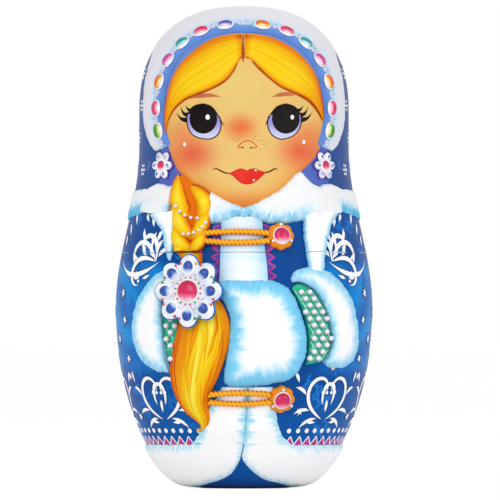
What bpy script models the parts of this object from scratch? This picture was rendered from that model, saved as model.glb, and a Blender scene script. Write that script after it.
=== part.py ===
"""A nest of five turned dolls: four that open at the waist and a solid smallest one.

The largest wears a fur-trimmed winter coat, a stone-set headdress and a plait in low relief.
Run it with: blender --background --python part.py
"""

import math

import bmesh
import bpy
from mathutils import Matrix, Vector

# Outer form of the largest doll, in metres. The smaller dolls are the same form, scaled.
HEIGHT = 0.180
FOOT_RADIUS = 0.014
BOWL_START_Z = 0.012
BELLY_RADIUS = 0.048
BELLY_Z = 0.068
BOWL_DEPTH = 0.0795
SEAM_Z = 0.088
SEAM_TAPER = 0.00227
SEAM_STEEPNESS = 1.374
NECK_Z = 0.127
HEAD_RADIUS = 0.0392
HEAD_Z = 0.140
CROWN_SQUARENESS = 2.4

# Walls and lips, one value for each doll that opens, largest first.
WALLS = (0.0048, 0.0040, 0.0034, 0.0030)
LIP_HEIGHTS = (0.008, 0.007, 0.006, 0.005)
LIP_FIT = 0.0003
LIP_END_GAP = 0.0006
NEST_CLEARANCES = (0.0046, 0.0036, 0.0032, 0.0026)
TURNED_SIDES = (36, 24, 20, 16, 14)

# Gaps between pieces that touch.
SEAT_GAP = 0.0003
SIDE_GAP = 0.0006

# How far each kind of relief stands out from what it sits on.
FUR_RISE = 0.0026
TRIM_RISE = 0.0014
HEM_RISE = 0.0010
MUFF_RISE = 0.0050
CUFF_RISE = 0.0036
LINING_RISE = 0.0014
HAIR_RISE = 0.0014
PLAIT_RISE = 0.0042
TAIL_RISE = 0.0044
BAND_RISE = 0.0014
EDGE_SHARE = 0.25
COLLAR_BACK_SHARE = 0.2

# Stones, cords and metalwork.
BAND_STONE_HALF_WIDTH = 0.0025
BAND_STONE_HALF_LENGTH = 0.0031
BAND_STONE_RISE = 0.0018
BROOCH_RADIUS = 0.0140
BROOCH_THICKNESS = 0.0013
BROOCH_STONE_RADIUS = 0.0045
BROOCH_STONE_RISE = 0.0024
STONE_RING_RADIUS = 0.0094
STONE_RING_HALF_WIDTH = 0.0031
STONE_RING_RISE = 0.0017
STONE_RING_COUNT = 8
CLASP_RADIUS = 0.0052
CLASP_THICKNESS = 0.0013
CLASP_STONE_RADIUS = 0.0030
CLASP_STONE_RISE = 0.0020
CORD_RADIUS = 0.0009
CORD_SPACING = 0.0036
EARRING_RADIUS = 0.0056
EARRING_THICKNESS = 0.0011
EARRING_STONE_RADIUS = 0.0022
EARRING_STONE_RISE = 0.0012

# Head outline seen from the front: the hat's front edge, the stone line and the hat's outer edge,
# as shares of the head's own outline.
HAIR_EDGE_SHARE = 0.728
BAND_INNER_EDGE_SHARE = 0.748
STONE_LINE_SHARE = 0.802
BAND_OUTER_EDGE_SHARE = 0.945
JAW_DROP = 0.035
JAW_SQUARENESS = 1.8
BAND_END_ANGLE = math.radians(112)
STONE_ANGLES = (9, 25, 41, 57, 73, 88, 102)

# Hem fur and front furs, as shares of the way from foot to seam.
HEM_LOW_SHARE = 0.036
HEM_TOP_SHARE = 0.195
FRONT_FUR_LOW_SHARE = 0.205
FRONT_FUR_TOP_SHARE = 0.43

COLOURS = {
    "coat_blue": (0.012, 0.115, 0.42),
    "scarf_blue": (0.045, 0.14, 0.46),
    "fur_white": (0.86, 0.93, 0.98),
    "hat_white": (0.78, 0.82, 0.92),
    "hair_gold": (0.90, 0.52, 0.02),
    "cuff_green": (0.02, 0.40, 0.26),
    "cord_gold": (0.86, 0.38, 0.03),
    "pearl": (0.88, 0.86, 0.90),
    "silver_white": (0.80, 0.86, 0.93),
    "stone_pink": (0.80, 0.05, 0.22),
    "stone_amber": (0.88, 0.28, 0.04),
    "stone_teal": (0.05, 0.44, 0.46),
    "stone_violet": (0.22, 0.20, 0.58),
    "stone_green": (0.10, 0.45, 0.04),
    "stone_blue": (0.08, 0.22, 0.62),
}
ROUGHNESS = {"fur_white": 0.8, "cord_gold": 0.6, "hair_gold": 0.45}

doll_collection = None
origins = {}


def clear_scene():
    for obj in list(bpy.data.objects):
        bpy.data.objects.remove(obj)


def new_collection(name):
    made = bpy.data.collections.new(name)
    bpy.context.scene.collection.children.link(made)
    return made


def finish(name):
    """The Principled material for one of COLOURS, made once."""
    made = bpy.data.materials.get(name)
    if made:
        return made
    made = bpy.data.materials.new(name)
    made.use_nodes = True
    shader = made.node_tree.nodes["Principled BSDF"]
    shader.inputs["Base Color"].default_value = (*COLOURS[name], 1)
    shader.inputs["Roughness"].default_value = ROUGHNESS.get(name, 0.3)
    shader.inputs["Metallic"].default_value = 0.0
    return made


def bowl_radius(z):
    """The ellipse that the bowl follows below the belly."""
    return BELLY_RADIUS * math.sqrt(1 - ((BELLY_Z - z) / BOWL_DEPTH) ** 2)


def bowl_slope(z):
    across = BELLY_RADIUS / BOWL_DEPTH
    down = (BELLY_Z - z) / BOWL_DEPTH
    return across * down / math.sqrt(1 - down**2)


def waist_radius(z):
    """From the belly through the seam up to the neck, level at both ends."""
    seam = BELLY_RADIUS - SEAM_TAPER
    slope = SEAM_STEEPNESS * (HEAD_RADIUS - BELLY_RADIUS) / (NECK_Z - BELLY_Z)
    if z < SEAM_Z:
        low, high, start, end, rise, fall = BELLY_Z, SEAM_Z, BELLY_RADIUS, seam, 0, slope
    else:
        low, high, start, end, rise, fall = SEAM_Z, NECK_Z, seam, HEAD_RADIUS, slope, 0
    length = high - low
    t = (z - low) / length
    ends = start * (1 + 2 * t) * (1 - t) ** 2 + end * (3 - 2 * t) * t**2
    return ends + length * (rise * t * (1 - t) ** 2 - fall * (1 - t) * t**2)


def outer_radius(z):
    """Radius of the largest doll at a height above its foot."""
    if z < BOWL_START_Z:
        start = bowl_radius(BOWL_START_Z)
        corner = start - bowl_slope(BOWL_START_Z) * BOWL_START_Z
        t = math.sqrt(max(z, 0) / BOWL_START_Z)
        return (1 - t) ** 2 * FOOT_RADIUS + 2 * t * (1 - t) * corner + t**2 * start
    if z < BELLY_Z:
        return bowl_radius(z)
    if z < NECK_Z:
        return waist_radius(z)
    if z < HEAD_Z:
        return HEAD_RADIUS
    up = min((z - HEAD_Z) / (HEIGHT - HEAD_Z), 1)
    return HEAD_RADIUS * (1 - up**CROWN_SQUARENESS) ** (1 / CROWN_SQUARENESS)


def outer_slope(z):
    """How fast the radius grows with height."""
    step = 0.00005
    low, high = max(z - step, 0), min(z + step, HEIGHT)
    return (outer_radius(high) - outer_radius(low)) / (high - low)


def spread(start, end, count):
    return [start + (end - start) * i / (count - 1) for i in range(count)]


def lower_heights():
    """Heights that the lower half's outer side is turned through, top to bottom."""
    bowl = spread(SEAM_Z, BOWL_START_Z, 8)
    rounding = [BOWL_START_Z * t**2 for t in (0.75, 0.5, 0.25)]
    return bowl + rounding + [0]


def dome(radius, height, steps):
    """Crown to brow of the head, as (radius, height above the brow) pairs."""
    points = []
    for i in range(steps + 1):
        angle = math.pi / 2 * (1 - i / steps)
        power = 2 / CROWN_SQUARENESS
        points.append((radius * math.cos(angle) ** power, height * math.sin(angle) ** power))
    points[0] = (0, height)
    return points


def upper_profile_outer():
    """Crown to seam of the largest doll's outer side."""
    head = [(r, HEAD_Z + h) for r, h in dome(HEAD_RADIUS, HEIGHT - HEAD_Z, 6)]
    shoulder = [(outer_radius(z), z) for z in spread(NECK_Z, SEAM_Z, 6)]
    return head + shoulder


def cavity_radius(z, wall):
    """Inside radius of a unit-scale doll with that wall, up to the brow."""
    return outer_radius(z) - wall * math.sqrt(1 + outer_slope(z) ** 2)


def turn(name, profile, sides, colour, z=0.0):
    """A solid of revolution about Z from a profile that runs down its outer side."""
    mesh = bpy.data.meshes.new(name)
    mesh.from_pydata([(r, 0, h) for r, h in profile], [(i, i + 1) for i in range(len(profile) - 1)], [])
    obj = bpy.data.objects.new(name, mesh)
    doll_collection.objects.link(obj)
    obj.location.z = z
    screw = obj.modifiers.new("turned", "SCREW")
    screw.steps = screw.render_steps = sides
    screw.use_merge_vertices = True
    screw.merge_threshold = 0.00005
    screw.use_smooth_shade = True
    mesh.materials.append(finish(colour))
    return obj


def lip_sizes(scale, wall):
    """Socket, lip and mouth radius of a doll at its seam."""
    seam = scale * outer_radius(SEAM_Z)
    middle = seam - wall / 2
    return middle + LIP_FIT / 2, middle - LIP_FIT / 2, seam - wall


def lower_half(name, scale, wall, lip_height, sides, colour, base):
    outer = [(scale * outer_radius(z), scale * z) for z in lower_heights()]
    _, lip, mouth = lip_sizes(scale, wall)
    seam = scale * SEAM_Z
    thick = wall / scale
    inner = [(0, wall)]
    for z in spread(thick, SEAM_Z - lip_height / scale / 2, 6):
        inner.append((scale * cavity_radius(z, thick), scale * z))
    spigot = [(mouth, seam), (mouth, seam + lip_height), (lip, seam + lip_height), (lip, seam)]
    return turn(name, inner + spigot + outer + [(0, 0)], sides, colour, base)


def upper_half(name, scale, wall, lip_height, sides, colour, base):
    outer = [(scale * r, scale * h) for r, h in upper_profile_outer()]
    seam = scale * SEAM_Z + SEAT_GAP
    outer[-1] = (outer[-1][0], seam)
    socket, _, mouth = lip_sizes(scale, wall)
    socket_end = scale * SEAM_Z + lip_height + LIP_END_GAP
    thick = wall / scale
    inside = [(socket, seam), (socket, socket_end)]
    for z in spread(socket_end / scale, HEAD_Z, 4)[:-1]:
        inside.append((min(scale * cavity_radius(z, thick), mouth), scale * z))
    head = dome(HEAD_RADIUS - thick, HEIGHT - HEAD_Z - thick, 5)
    inside += [(scale * r, scale * (HEAD_Z + h)) for r, h in reversed(head)]
    return turn(name, outer + inside, sides, colour, base)


def nest_scales():
    """Each doll's scale: it passes through the mouth of the one before and stands up inside it."""
    scales = [1.0]
    for wall, clearance in zip(WALLS, NEST_CLEARANCES):
        scale = scales[-1]
        mouth = lip_sizes(scale, wall)[2]
        by_width = (mouth - clearance) / BELLY_RADIUS
        by_height = (scale * HEIGHT - 2 * wall - clearance) / HEIGHT
        scales.append(min(by_width, by_height))
    return scales


def on_doll(azimuth, z, lift):
    """A point that far above the largest doll's surface. Azimuth 0 is the front, at -Y."""
    slope = outer_slope(z)
    length = math.sqrt(1 + slope**2)
    r = outer_radius(z) + lift / length
    return Vector((r * math.sin(azimuth), -r * math.cos(azimuth), z - lift * slope / length))


def frame_on_doll(azimuth, z, lift):
    """A matrix at a point of the surface: X along it sideways, Y up along it, Z out of it."""
    out = Vector((math.sin(azimuth), -math.cos(azimuth), -outer_slope(z))).normalized()
    side = Vector((math.cos(azimuth), math.sin(azimuth), 0))
    turned = Matrix((side, out.cross(side), out)).transposed().to_4x4()
    return Matrix.Translation(on_doll(azimuth, z, lift)) @ turned


def lower_z(share):
    """A height on the lower half, as a share of the way from foot to seam."""
    return SEAM_Z * share


def upper_z(share):
    """A height on the upper half, as a share of the way from seam to brow."""
    return SEAM_Z + SEAT_GAP + (HEAD_Z - SEAM_Z) * share


def head_point(angle, share):
    """(azimuth, height) on the head, seen from the front.

    Angle 0 is the crown, and share 1 is the head's outline.
    """
    side, up = math.sin(angle), math.cos(angle)
    if up >= 0:
        power, drop = 2 / CROWN_SQUARENESS, HEIGHT - HEAD_Z
    else:
        power, drop = 2 / JAW_SQUARENESS, JAW_DROP / HAIR_EDGE_SHARE
    across = math.copysign(abs(side) ** power, side) * share * HEAD_RADIUS
    z = HEAD_Z + math.copysign(abs(up) ** power, up) * share * drop
    return math.asin(max(-1, min(1, across / outer_radius(z)))), z


def between(table, value):
    """Linear reading of a table of (key, number) pairs in rising order of key."""
    if value <= table[0][0]:
        return table[0][1]
    for (low, a), (high, b) in zip(table, table[1:]):
        if value <= high:
            return a + (b - a) * (value - low) / (high - low)
    return table[-1][1]


def pillow(u, v):
    """Full height in the middle, falling away towards all four edges."""
    return max(0, math.sin(math.pi * u) * math.sin(math.pi * v)) ** 0.45


def roll(_, v):
    """Full height along the middle of a strip, falling away to its two long edges."""
    return max(0, math.sin(math.pi * v)) ** 0.6


def flat(_u, _v):
    """The same height all over."""
    return 0.9


def plaited(u, v):
    """A strip whose crown is crossed by slanting grooves, as strands in a plait."""
    slant = abs(v - 0.5) * 1.2
    groove = abs(math.sin(math.pi * (u * 5 + slant)))
    return roll(u, v) * (0.55 + 0.45 * groove)


def pad(name, chart, columns, rows, rise, colour, crown=roll, seat=0.0, half="lower_half"):
    """Relief wrapped on the largest doll: a grid laid on the surface and thickened outward.

    chart(u, v) gives (azimuth, height) for u along the pad and v across it, both from 0 to 1.
    crown(u, v) is the share of the rise at that point, and seat is the lift of what lies below.
    """
    grid = bmesh.new()
    bmesh.ops.create_grid(grid, x_segments=columns, y_segments=rows, size=0.5)
    places = {}
    for vertex in grid.verts:
        u, v = vertex.co.x + 0.5, vertex.co.y + 0.5
        places[vertex.index] = (u, v)
        azimuth, z = chart(u, v)
        vertex.co = on_doll(azimuth, z, seat + SEAT_GAP)
    grid.normal_update()
    facing = 0
    for face in grid.faces:
        middle = face.calc_center_median()
        facing += face.normal.dot(Vector((middle.x, middle.y, 0)))
    if facing < 0:
        bmesh.ops.reverse_faces(grid, faces=grid.faces)
    mesh = bpy.data.meshes.new(name)
    grid.to_mesh(mesh)
    grid.free()
    obj = bpy.data.objects.new(name, mesh)
    doll_collection.objects.link(obj)
    group = obj.vertex_groups.new(name="crown")
    for index, (u, v) in places.items():
        group.add([index], crown(u, v), "REPLACE")
    thicken = obj.modifiers.new("relief", "SOLIDIFY")
    thicken.thickness = rise
    thicken.offset = 1
    thicken.vertex_group = group.name
    thicken.thickness_vertex_group = EDGE_SHARE
    mesh.shade_smooth()
    mesh.materials.append(finish(colour))
    obj.parent = origins[half]
    return obj


def strip(left, right, low, high):
    """A chart that rises from low to high between two edge tables.

    Each table holds (share of the way up, azimuth in degrees) pairs.
    """

    def chart(u, v):
        z = low + (high - low) * u
        a, b = between(left, u), between(right, u)
        return math.radians(a + (b - a) * v), z

    return chart


def link_mesh(name, source, colour, half):
    """Turns a bmesh into an object on that half of the doll."""
    mesh = bpy.data.meshes.new(name)
    source.to_mesh(mesh)
    source.free()
    mesh.set_sharp_from_angle(angle=math.radians(40))
    mesh.materials.append(finish(colour))
    obj = bpy.data.objects.new(name, mesh)
    doll_collection.objects.link(obj)
    obj.parent = origins[half]
    return obj


def domed_stone(name, frame, half_width, half_length, rise, colour, half, sides=10):
    """A domed stone with a flat back, standing on its back at that frame."""
    stone = bmesh.new()
    bmesh.ops.create_uvsphere(stone, u_segments=sides, v_segments=6, radius=1)
    geometry = stone.verts[:] + stone.edges[:] + stone.faces[:]
    cut = bmesh.ops.bisect_plane(
        stone, geom=geometry, plane_co=(0, 0, 0), plane_no=(0, 0, 1), clear_inner=True, dist=0.001
    )
    rim = [edge for edge in cut["geom_cut"] if isinstance(edge, bmesh.types.BMEdge)]
    bmesh.ops.contextual_create(stone, geom=rim)
    bmesh.ops.recalc_face_normals(stone, faces=stone.faces)
    scale = Matrix.Diagonal((half_width, half_length, rise, 1))
    bmesh.ops.transform(stone, matrix=frame @ scale, verts=stone.verts)
    return link_mesh(name, stone, colour, half)


def stone_ring(name, frame, radius, half_width, rise, lobes, colour, half):
    """A ring of touching stones moulded as one piece: it swells and narrows once for each stone."""
    ring = bmesh.new()
    rows = []
    steps = lobes * 4
    for i in range(steps):
        angle = 2 * math.pi * i / steps
        swell = 0.62 + 0.38 * abs(math.cos(angle * lobes / 2))
        out = half_width * swell
        section = [(-out, 0), (-out * 0.6, rise * swell * 0.8), (0, rise * swell)]
        section += [(out * 0.6, rise * swell * 0.8), (out, 0)]
        turn_by = Matrix.Rotation(angle, 4, "Z")
        rows.append([ring.verts.new(frame @ turn_by @ Vector((radius + x, 0, z))) for x, z in section])
    for row, following in zip(rows, rows[1:] + rows[:1]):
        for a, b, c, d in zip(row, row[1:] + row[:1], following[1:] + following[:1], following):
            ring.faces.new((a, b, c, d))
    bmesh.ops.recalc_face_normals(ring, faces=ring.faces)
    return link_mesh(name, ring, colour, half)


def plate(name, frame, radius, thickness, sides, colour, half, scallop=0.0):
    """A flat plate with a wavy rim, standing on its back."""
    disc = bmesh.new()
    centre = Matrix.Translation((0, 0, thickness / 2))
    bmesh.ops.create_cone(
        disc, cap_ends=True, segments=sides, radius1=radius, radius2=radius, depth=thickness, matrix=centre
    )
    for vertex in disc.verts:
        if round(math.degrees(math.atan2(vertex.co.y, vertex.co.x)) / 360 * sides) % 2:
            vertex.co.x *= 1 - scallop
            vertex.co.y *= 1 - scallop
    bmesh.ops.transform(disc, matrix=frame, verts=disc.verts)
    return link_mesh(name, disc, colour, half)


def cord_loop(name, loop_end, clasp_end, height, lift, half):
    """A doubled cord across the front: out from the clasp, round in a half circle, and back."""
    curve = bpy.data.curves.new(name, "CURVE")
    curve.dimensions = "3D"
    curve.bevel_depth = CORD_RADIUS
    curve.bevel_resolution = 1
    curve.use_fill_caps = True
    bend = CORD_SPACING / 2
    bend_degrees = math.degrees(bend / outer_radius(height))
    straight = spread(clasp_end, loop_end + bend_degrees, 6)
    path = [(azimuth, height - bend) for azimuth in straight]
    for i in range(1, 5):
        angle = math.pi * i / 5
        path.append((straight[-1] - bend_degrees * math.sin(angle), height - bend * math.cos(angle)))
    path += [(azimuth, height + bend) for azimuth in reversed(straight)]
    spline = curve.splines.new("POLY")
    spline.points.add(len(path) - 1)
    for point, (azimuth, z) in zip(spline.points, path):
        point.co = (*on_doll(math.radians(azimuth), z, lift + SEAT_GAP + CORD_RADIUS), 1)
    curve.materials.append(finish("cord_gold"))
    obj = bpy.data.objects.new(name, curve)
    doll_collection.objects.link(obj)
    obj.parent = origins[half]
    return obj


def clasp(prefix, azimuth, z, half):
    """A round clasp with a pink stone, at the ends of a doubled cord and as high as the cord lies."""
    frame = frame_on_doll(math.radians(azimuth), z, SEAT_GAP)
    thickness = TRIM_RISE + CLASP_THICKNESS
    plate(prefix + "_clasp", frame, CLASP_RADIUS, thickness, 16, "cord_gold", half, 0.14)
    top = frame @ Matrix.Translation((0, 0, thickness + SEAT_GAP))
    radius = CLASP_STONE_RADIUS
    domed_stone(prefix + "_clasp_stone", top, radius, radius, CLASP_STONE_RISE, "stone_pink", half)


def fastening(prefix, loop_end, clasp_azimuth, z, half):
    """A doubled cord across the front, over the trim, and the clasp that it ends at."""
    reach = math.degrees((CLASP_RADIUS + SIDE_GAP) / outer_radius(z))
    cord_loop(prefix + "_cord", loop_end, clasp_azimuth - reach, z, TRIM_RISE + SEAT_GAP, half)
    clasp(prefix, clasp_azimuth, z, half)


def nest_of_dolls():
    """The turned wooden halves, each standing on the floor of the one that holds it."""
    scales = nest_scales()
    base = 0.0
    for index, (wall, lip) in enumerate(zip(WALLS, LIP_HEIGHTS)):
        name = "outer" if index == 0 else f"doll_{index + 1}"
        sides, scale = TURNED_SIDES[index], scales[index]
        lower = lower_half(name + "_lower_half", scale, wall, lip, sides, "coat_blue", base)
        upper = upper_half(name + "_upper_half", scale, wall, lip, sides, "coat_blue", base)
        if index == 0:
            for key, piece in (("lower_half", lower), ("upper_half", upper)):
                origins[key] = bpy.data.objects.new("outer_" + key + "_axis", None)
                doll_collection.objects.link(origins[key])
                piece.parent = origins[key]
        base += wall + SEAT_GAP
    last = scales[-1]
    outline = [(last * r, last * h) for r, h in upper_profile_outer()[:-1]]
    outline += [(last * outer_radius(z), last * z) for z in lower_heights()] + [(0, 0)]
    turn("doll_5", outline, TURNED_SIDES[-1], "coat_blue", base)


def headdress():
    """The white band round the face and its row of stones."""

    def band(u, v):
        angle = -BAND_END_ANGLE + 2 * BAND_END_ANGLE * u
        return head_point(angle, BAND_INNER_EDGE_SHARE + (BAND_OUTER_EDGE_SHARE - BAND_INNER_EDGE_SHARE) * v)

    pad("headdress_band", band, 24, 3, BAND_RISE, "hat_white", flat, half="upper_half")
    colours = ("stone_pink", "stone_teal", "stone_pink", "stone_amber", "stone_pink", "stone_green")
    row = {-1: ("stone_violet",) + colours, 1: ("stone_amber",) + colours}
    for side, word in ((-1, "left"), (1, "right")):
        for number, (degrees, colour) in enumerate(zip(STONE_ANGLES, row[side]), start=1):
            azimuth, z = head_point(side * math.radians(degrees), STONE_LINE_SHARE)
            frame = frame_on_doll(azimuth, z, BAND_RISE + 2 * SEAT_GAP)
            size = (BAND_STONE_HALF_WIDTH, BAND_STONE_HALF_LENGTH, BAND_STONE_RISE)
            domed_stone(f"headdress_stone_{word}_{number}", frame, *size, colour, "upper_half")


def hair():
    """Two combed wings of hair that meet in a parting over the brow."""
    hairline = {
        "left": [(3, 0.55), (29, 0.36), (59, 0.41), (77, 0.54), (88, 0.63), (104, 0.705)],
        "right": [(3, 0.55), (26, 0.42), (47, 0.43), (67, 0.53), (84, 0.63), (104, 0.705)],
    }
    for side, sign in (("left", -1), ("right", 1)):
        edge = hairline[side]

        def wing(u, v, edge=edge, sign=sign):
            degrees = 1.2 + (edge[-1][0] - 1.2) * u
            low = between(edge, degrees)
            return head_point(sign * math.radians(degrees), low + (HAIR_EDGE_SHARE - low) * v)

        pad(side + "_hair_wing", wing, 9, 3, HAIR_RISE, "hair_gold", pillow, half="upper_half")


def collar():
    """The fur collar: it dips under the chin and runs round the back, and stops at the plait."""
    top = [(0, 0.30), (12, 0.38), (22, 0.48), (30, 0.58), (36, 0.54), (52, 0.50), (180, 0.50)]
    bottom = [(0, 0.245), (10, 0.215), (28, 0.225), (42, 0.27), (60, 0.285), (180, 0.285)]
    plait_edge_right, plait_edge_left = -17.0, -43.5

    def ring(u, v):
        degrees = plait_edge_right + (360 + plait_edge_left - plait_edge_right) * u
        from_front = abs((degrees + 180) % 360 - 180)
        low, high = between(bottom, from_front), between(top, from_front)
        return math.radians(degrees), upper_z(low + (high - low) * v)

    def crown(u, v):
        degrees = plait_edge_right + (360 + plait_edge_left - plait_edge_right) * u
        from_front = abs((degrees + 180) % 360 - 180)
        return roll(u, v) * between([(36, 1), (62, COLLAR_BACK_SHARE)], from_front)

    pad("fur_collar", ring, 28, 3, FUR_RISE, "fur_white", crown, half="upper_half")


def plait():
    """The plait over the shoulder, in two pieces that part at the seam, the lower one loose hair."""
    left = [(0, -37), (0.15, -40), (0.4, -42), (0.75, -42.5), (1, -38.5)]
    right = [(0, -18.5), (0.15, -18.5), (0.4, -18), (0.75, -20), (1, -31)]
    chart = strip(left, right, upper_z(0.004), upper_z(0.56))
    pad("plait", chart, 16, 4, PLAIT_RISE, "hair_gold", plaited, half="upper_half")

    left = [(0, -25.5), (0.06, -31.5), (0.18, -35.6), (0.35, -36.6), (0.5, -34.5), (0.61, -31.5)]
    left += [(0.74, -27.3), (0.83, -25), (1, -33)]
    right = [(0, -21.6), (0.06, -17), (0.18, -16), (0.35, -10.2), (0.5, -7.3), (0.61, -6.2)]
    right += [(0.74, -9.6), (0.83, -14.6), (1, -18)]
    chart = strip(left, right, lower_z(0.25), SEAM_Z - SEAT_GAP)
    pad("plait_tail", chart, 16, 4, TAIL_RISE, "hair_gold")


def muff_and_sleeves():
    """The fur muff beside the hair, the fur cuffs and the green linings that show between them."""
    low, high = lower_z(0.44), lower_z(0.885)
    hair_edge = [(0, -9.5), (0.17, -9.2), (0.42, -6.3), (0.6, -5.2), (0.78, -8.2), (1, -12)]

    round_edge = [(0, 15), (0.1, 22), (0.3, 27.3), (0.5, 28.5), (0.7, 27.4), (0.9, 21.5), (1, 15)]

    def muff(u, v):
        inner, outer = between(hair_edge, v), between(round_edge, v)
        return math.radians(inner + (outer - inner) * u), low + (high - low) * v

    pad("muff", muff, 9, 8, MUFF_RISE, "fur_white", pillow)

    cuff_inner = [(0, 42), (0.12, 40.5), (0.3, 41.5), (0.5, 41.5), (0.7, 39.5), (0.85, 34), (1, 31)]
    cuff_outer = [(0, 50), (0.12, 57), (0.3, 61), (0.5, 62.5), (0.7, 60), (0.85, 53), (1, 43)]
    lining_inner = [(0, 31), (0.25, 31), (0.5, 30.5), (0.75, 30.2), (1, 24)]
    lining_outer = [(0, 34), (0.25, 39.8), (0.5, 40.3), (0.75, 37.5), (1, 27)]
    for side, sign in (("right", 1), ("left", -1)):
        inner = [(share, sign * degrees) for share, degrees in cuff_inner]
        outer = [(share, sign * degrees) for share, degrees in cuff_outer]
        if sign < 0:
            inner[-1] = (1, -34)
        chart = strip(inner, outer, lower_z(0.505), lower_z(0.925))
        pad(side + "_cuff", chart, 10, 3, CUFF_RISE, "fur_white")
        inner = [(share, sign * degrees) for share, degrees in lining_inner]
        outer = [(share, sign * degrees) for share, degrees in lining_outer]
        top = 0.86
        if sign < 0:
            inner = [(0, -37.4), (0.4, -37.6), (0.7, -35.4), (1, -34.6)]
            outer = [(0, -39.3), (0.4, -40.4), (0.7, -40), (1, -37)]
            top = 0.76
        chart = strip(inner, outer, lower_z(0.52), lower_z(top))
        pad(side + "_cuff_lining", chart, 7, 2, LINING_RISE, "cuff_green")


def coat_front():
    """Fur down the coat's front edges, round the hem, and under the collar as far as the seam."""
    band = strip([(0, 35), (1, 31)], [(0, 43), (1, 41.5)], lower_z(0.945), SEAM_Z - SEAT_GAP)
    pad("right_lower_shoulder_fur", band, 2, 2, FUR_RISE, "fur_white")
    placket = strip([(0, -11), (1, -11.7)], [(0, 9.7), (1, 10.3)], upper_z(0.004), upper_z(0.20))
    pad("upper_placket", placket, 4, 3, TRIM_RISE, "fur_white", half="upper_half")
    placket = strip([(0, -10.7), (1, -11)], [(0, 9.4), (1, 9.6)], lower_z(0.90), SEAM_Z - SEAT_GAP)
    pad("lower_placket", placket, 2, 3, TRIM_RISE, "fur_white")

    shoulder = {
        "left": ([(0, -49), (1, -51)], [(0, -43.6), (1, -43.6)], 0.255),
        "right": ([(0, 31), (1, 33)], [(0, 41.5), (1, 45)], 0.235),
    }
    for side, (left, right, top) in shoulder.items():
        chart = strip(left, right, upper_z(0.004), upper_z(top))
        pad(side + "_shoulder_fur", chart, 4, 2, FUR_RISE, "fur_white", half="upper_half")

    low, high = lower_z(FRONT_FUR_LOW_SHARE), lower_z(FRONT_FUR_TOP_SHARE)
    left = strip([(0, -20), (0.25, -15.5), (0.5, -14.6), (1, -9.6)], [(0, -0.6), (1, -0.6)], low, high)
    right = strip([(0, 0.6), (1, 0.6)], [(0, 23), (0.25, 17), (0.5, 10.8), (1, 10.6)], low, high)
    pad("left_front_fur", left, 5, 3, TRIM_RISE, "fur_white")
    pad("right_front_fur", right, 5, 3, TRIM_RISE, "fur_white")

    notch = [(0, 33), (0.21, 24), (0.4, 12), (0.58, 1.2), (1, 0.6)]

    def hem(u, v):
        share = HEM_LOW_SHARE + (HEM_TOP_SHARE - HEM_LOW_SHARE) * v
        start = between(notch, v)
        return math.radians(start + (360 - 2 * start) * u), lower_z(share)

    pad("hem_fur", hem, 36, 7, HEM_RISE, "fur_white")


def jewellery():
    """The brooch at the plait's tie, the cord fastenings and the earrings."""
    azimuth, z = math.radians(-22.7), SEAM_Z - BROOCH_RADIUS - SIDE_GAP
    half = "lower_half"
    frame = frame_on_doll(azimuth, z, TAIL_RISE + 2 * SEAT_GAP)
    plate("brooch_plate", frame, BROOCH_RADIUS, BROOCH_THICKNESS, 32, "silver_white", half, 0.1)
    face = frame @ Matrix.Translation((0, 0, BROOCH_THICKNESS + SEAT_GAP))
    size = (BROOCH_STONE_RADIUS, BROOCH_STONE_RADIUS, BROOCH_STONE_RISE)
    domed_stone("brooch_centre_stone", face, *size, "stone_pink", half, 16)
    ring = (STONE_RING_RADIUS, STONE_RING_HALF_WIDTH, STONE_RING_RISE, STONE_RING_COUNT)
    stone_ring("brooch_stone_ring", face, *ring, "stone_blue", half)

    fastening("upper", -18.5, 17.3, upper_z(0.108), "upper_half")
    fastening("lower", -16, 18.1, lower_z(0.385), "lower_half")

    half = "upper_half"
    size = (EARRING_STONE_RADIUS, EARRING_STONE_RADIUS, EARRING_STONE_RISE)
    for side, azimuth in (("left", -49), ("right", 48)):
        frame = frame_on_doll(math.radians(azimuth), upper_z(0.62), SEAT_GAP)
        plate(side + "_earring", frame, EARRING_RADIUS, EARRING_THICKNESS, 12, "silver_white", half, 0.3)
        face = frame @ Matrix.Translation((0, 0, EARRING_THICKNESS + SEAT_GAP))
        domed_stone(side + "_earring_stone", face, *size, "stone_pink", half)


def main():
    global doll_collection
    clear_scene()
    doll_collection = new_collection("nesting_doll")
    nest_of_dolls()
    headdress()
    hair()
    collar()
    plait()
    muff_and_sleeves()
    coat_front()
    jewellery()


main()
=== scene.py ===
from math import copysign, cos, dist, pi, radians, sin, sqrt

import bmesh
import bpy
import numpy as np
from mathutils import Matrix, Vector


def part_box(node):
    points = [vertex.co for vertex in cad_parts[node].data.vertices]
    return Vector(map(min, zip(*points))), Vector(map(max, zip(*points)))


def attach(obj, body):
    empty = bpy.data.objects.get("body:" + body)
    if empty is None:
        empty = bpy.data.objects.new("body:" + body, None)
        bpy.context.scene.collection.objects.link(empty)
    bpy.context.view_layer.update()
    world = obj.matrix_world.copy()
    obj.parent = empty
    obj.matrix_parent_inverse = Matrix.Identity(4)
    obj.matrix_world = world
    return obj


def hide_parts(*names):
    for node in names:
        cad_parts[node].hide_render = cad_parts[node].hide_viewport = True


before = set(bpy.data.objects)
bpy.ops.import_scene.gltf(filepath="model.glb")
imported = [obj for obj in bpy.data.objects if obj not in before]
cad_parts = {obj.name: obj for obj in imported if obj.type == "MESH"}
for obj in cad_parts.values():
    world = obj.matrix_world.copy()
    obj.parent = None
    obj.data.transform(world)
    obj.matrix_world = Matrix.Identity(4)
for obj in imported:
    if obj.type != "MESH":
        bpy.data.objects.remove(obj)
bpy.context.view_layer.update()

# Outlines and lifts below are millimetres on the largest doll, seen from the front; meshes are metres.
mm = 0.001

print("Doll form")

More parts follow.
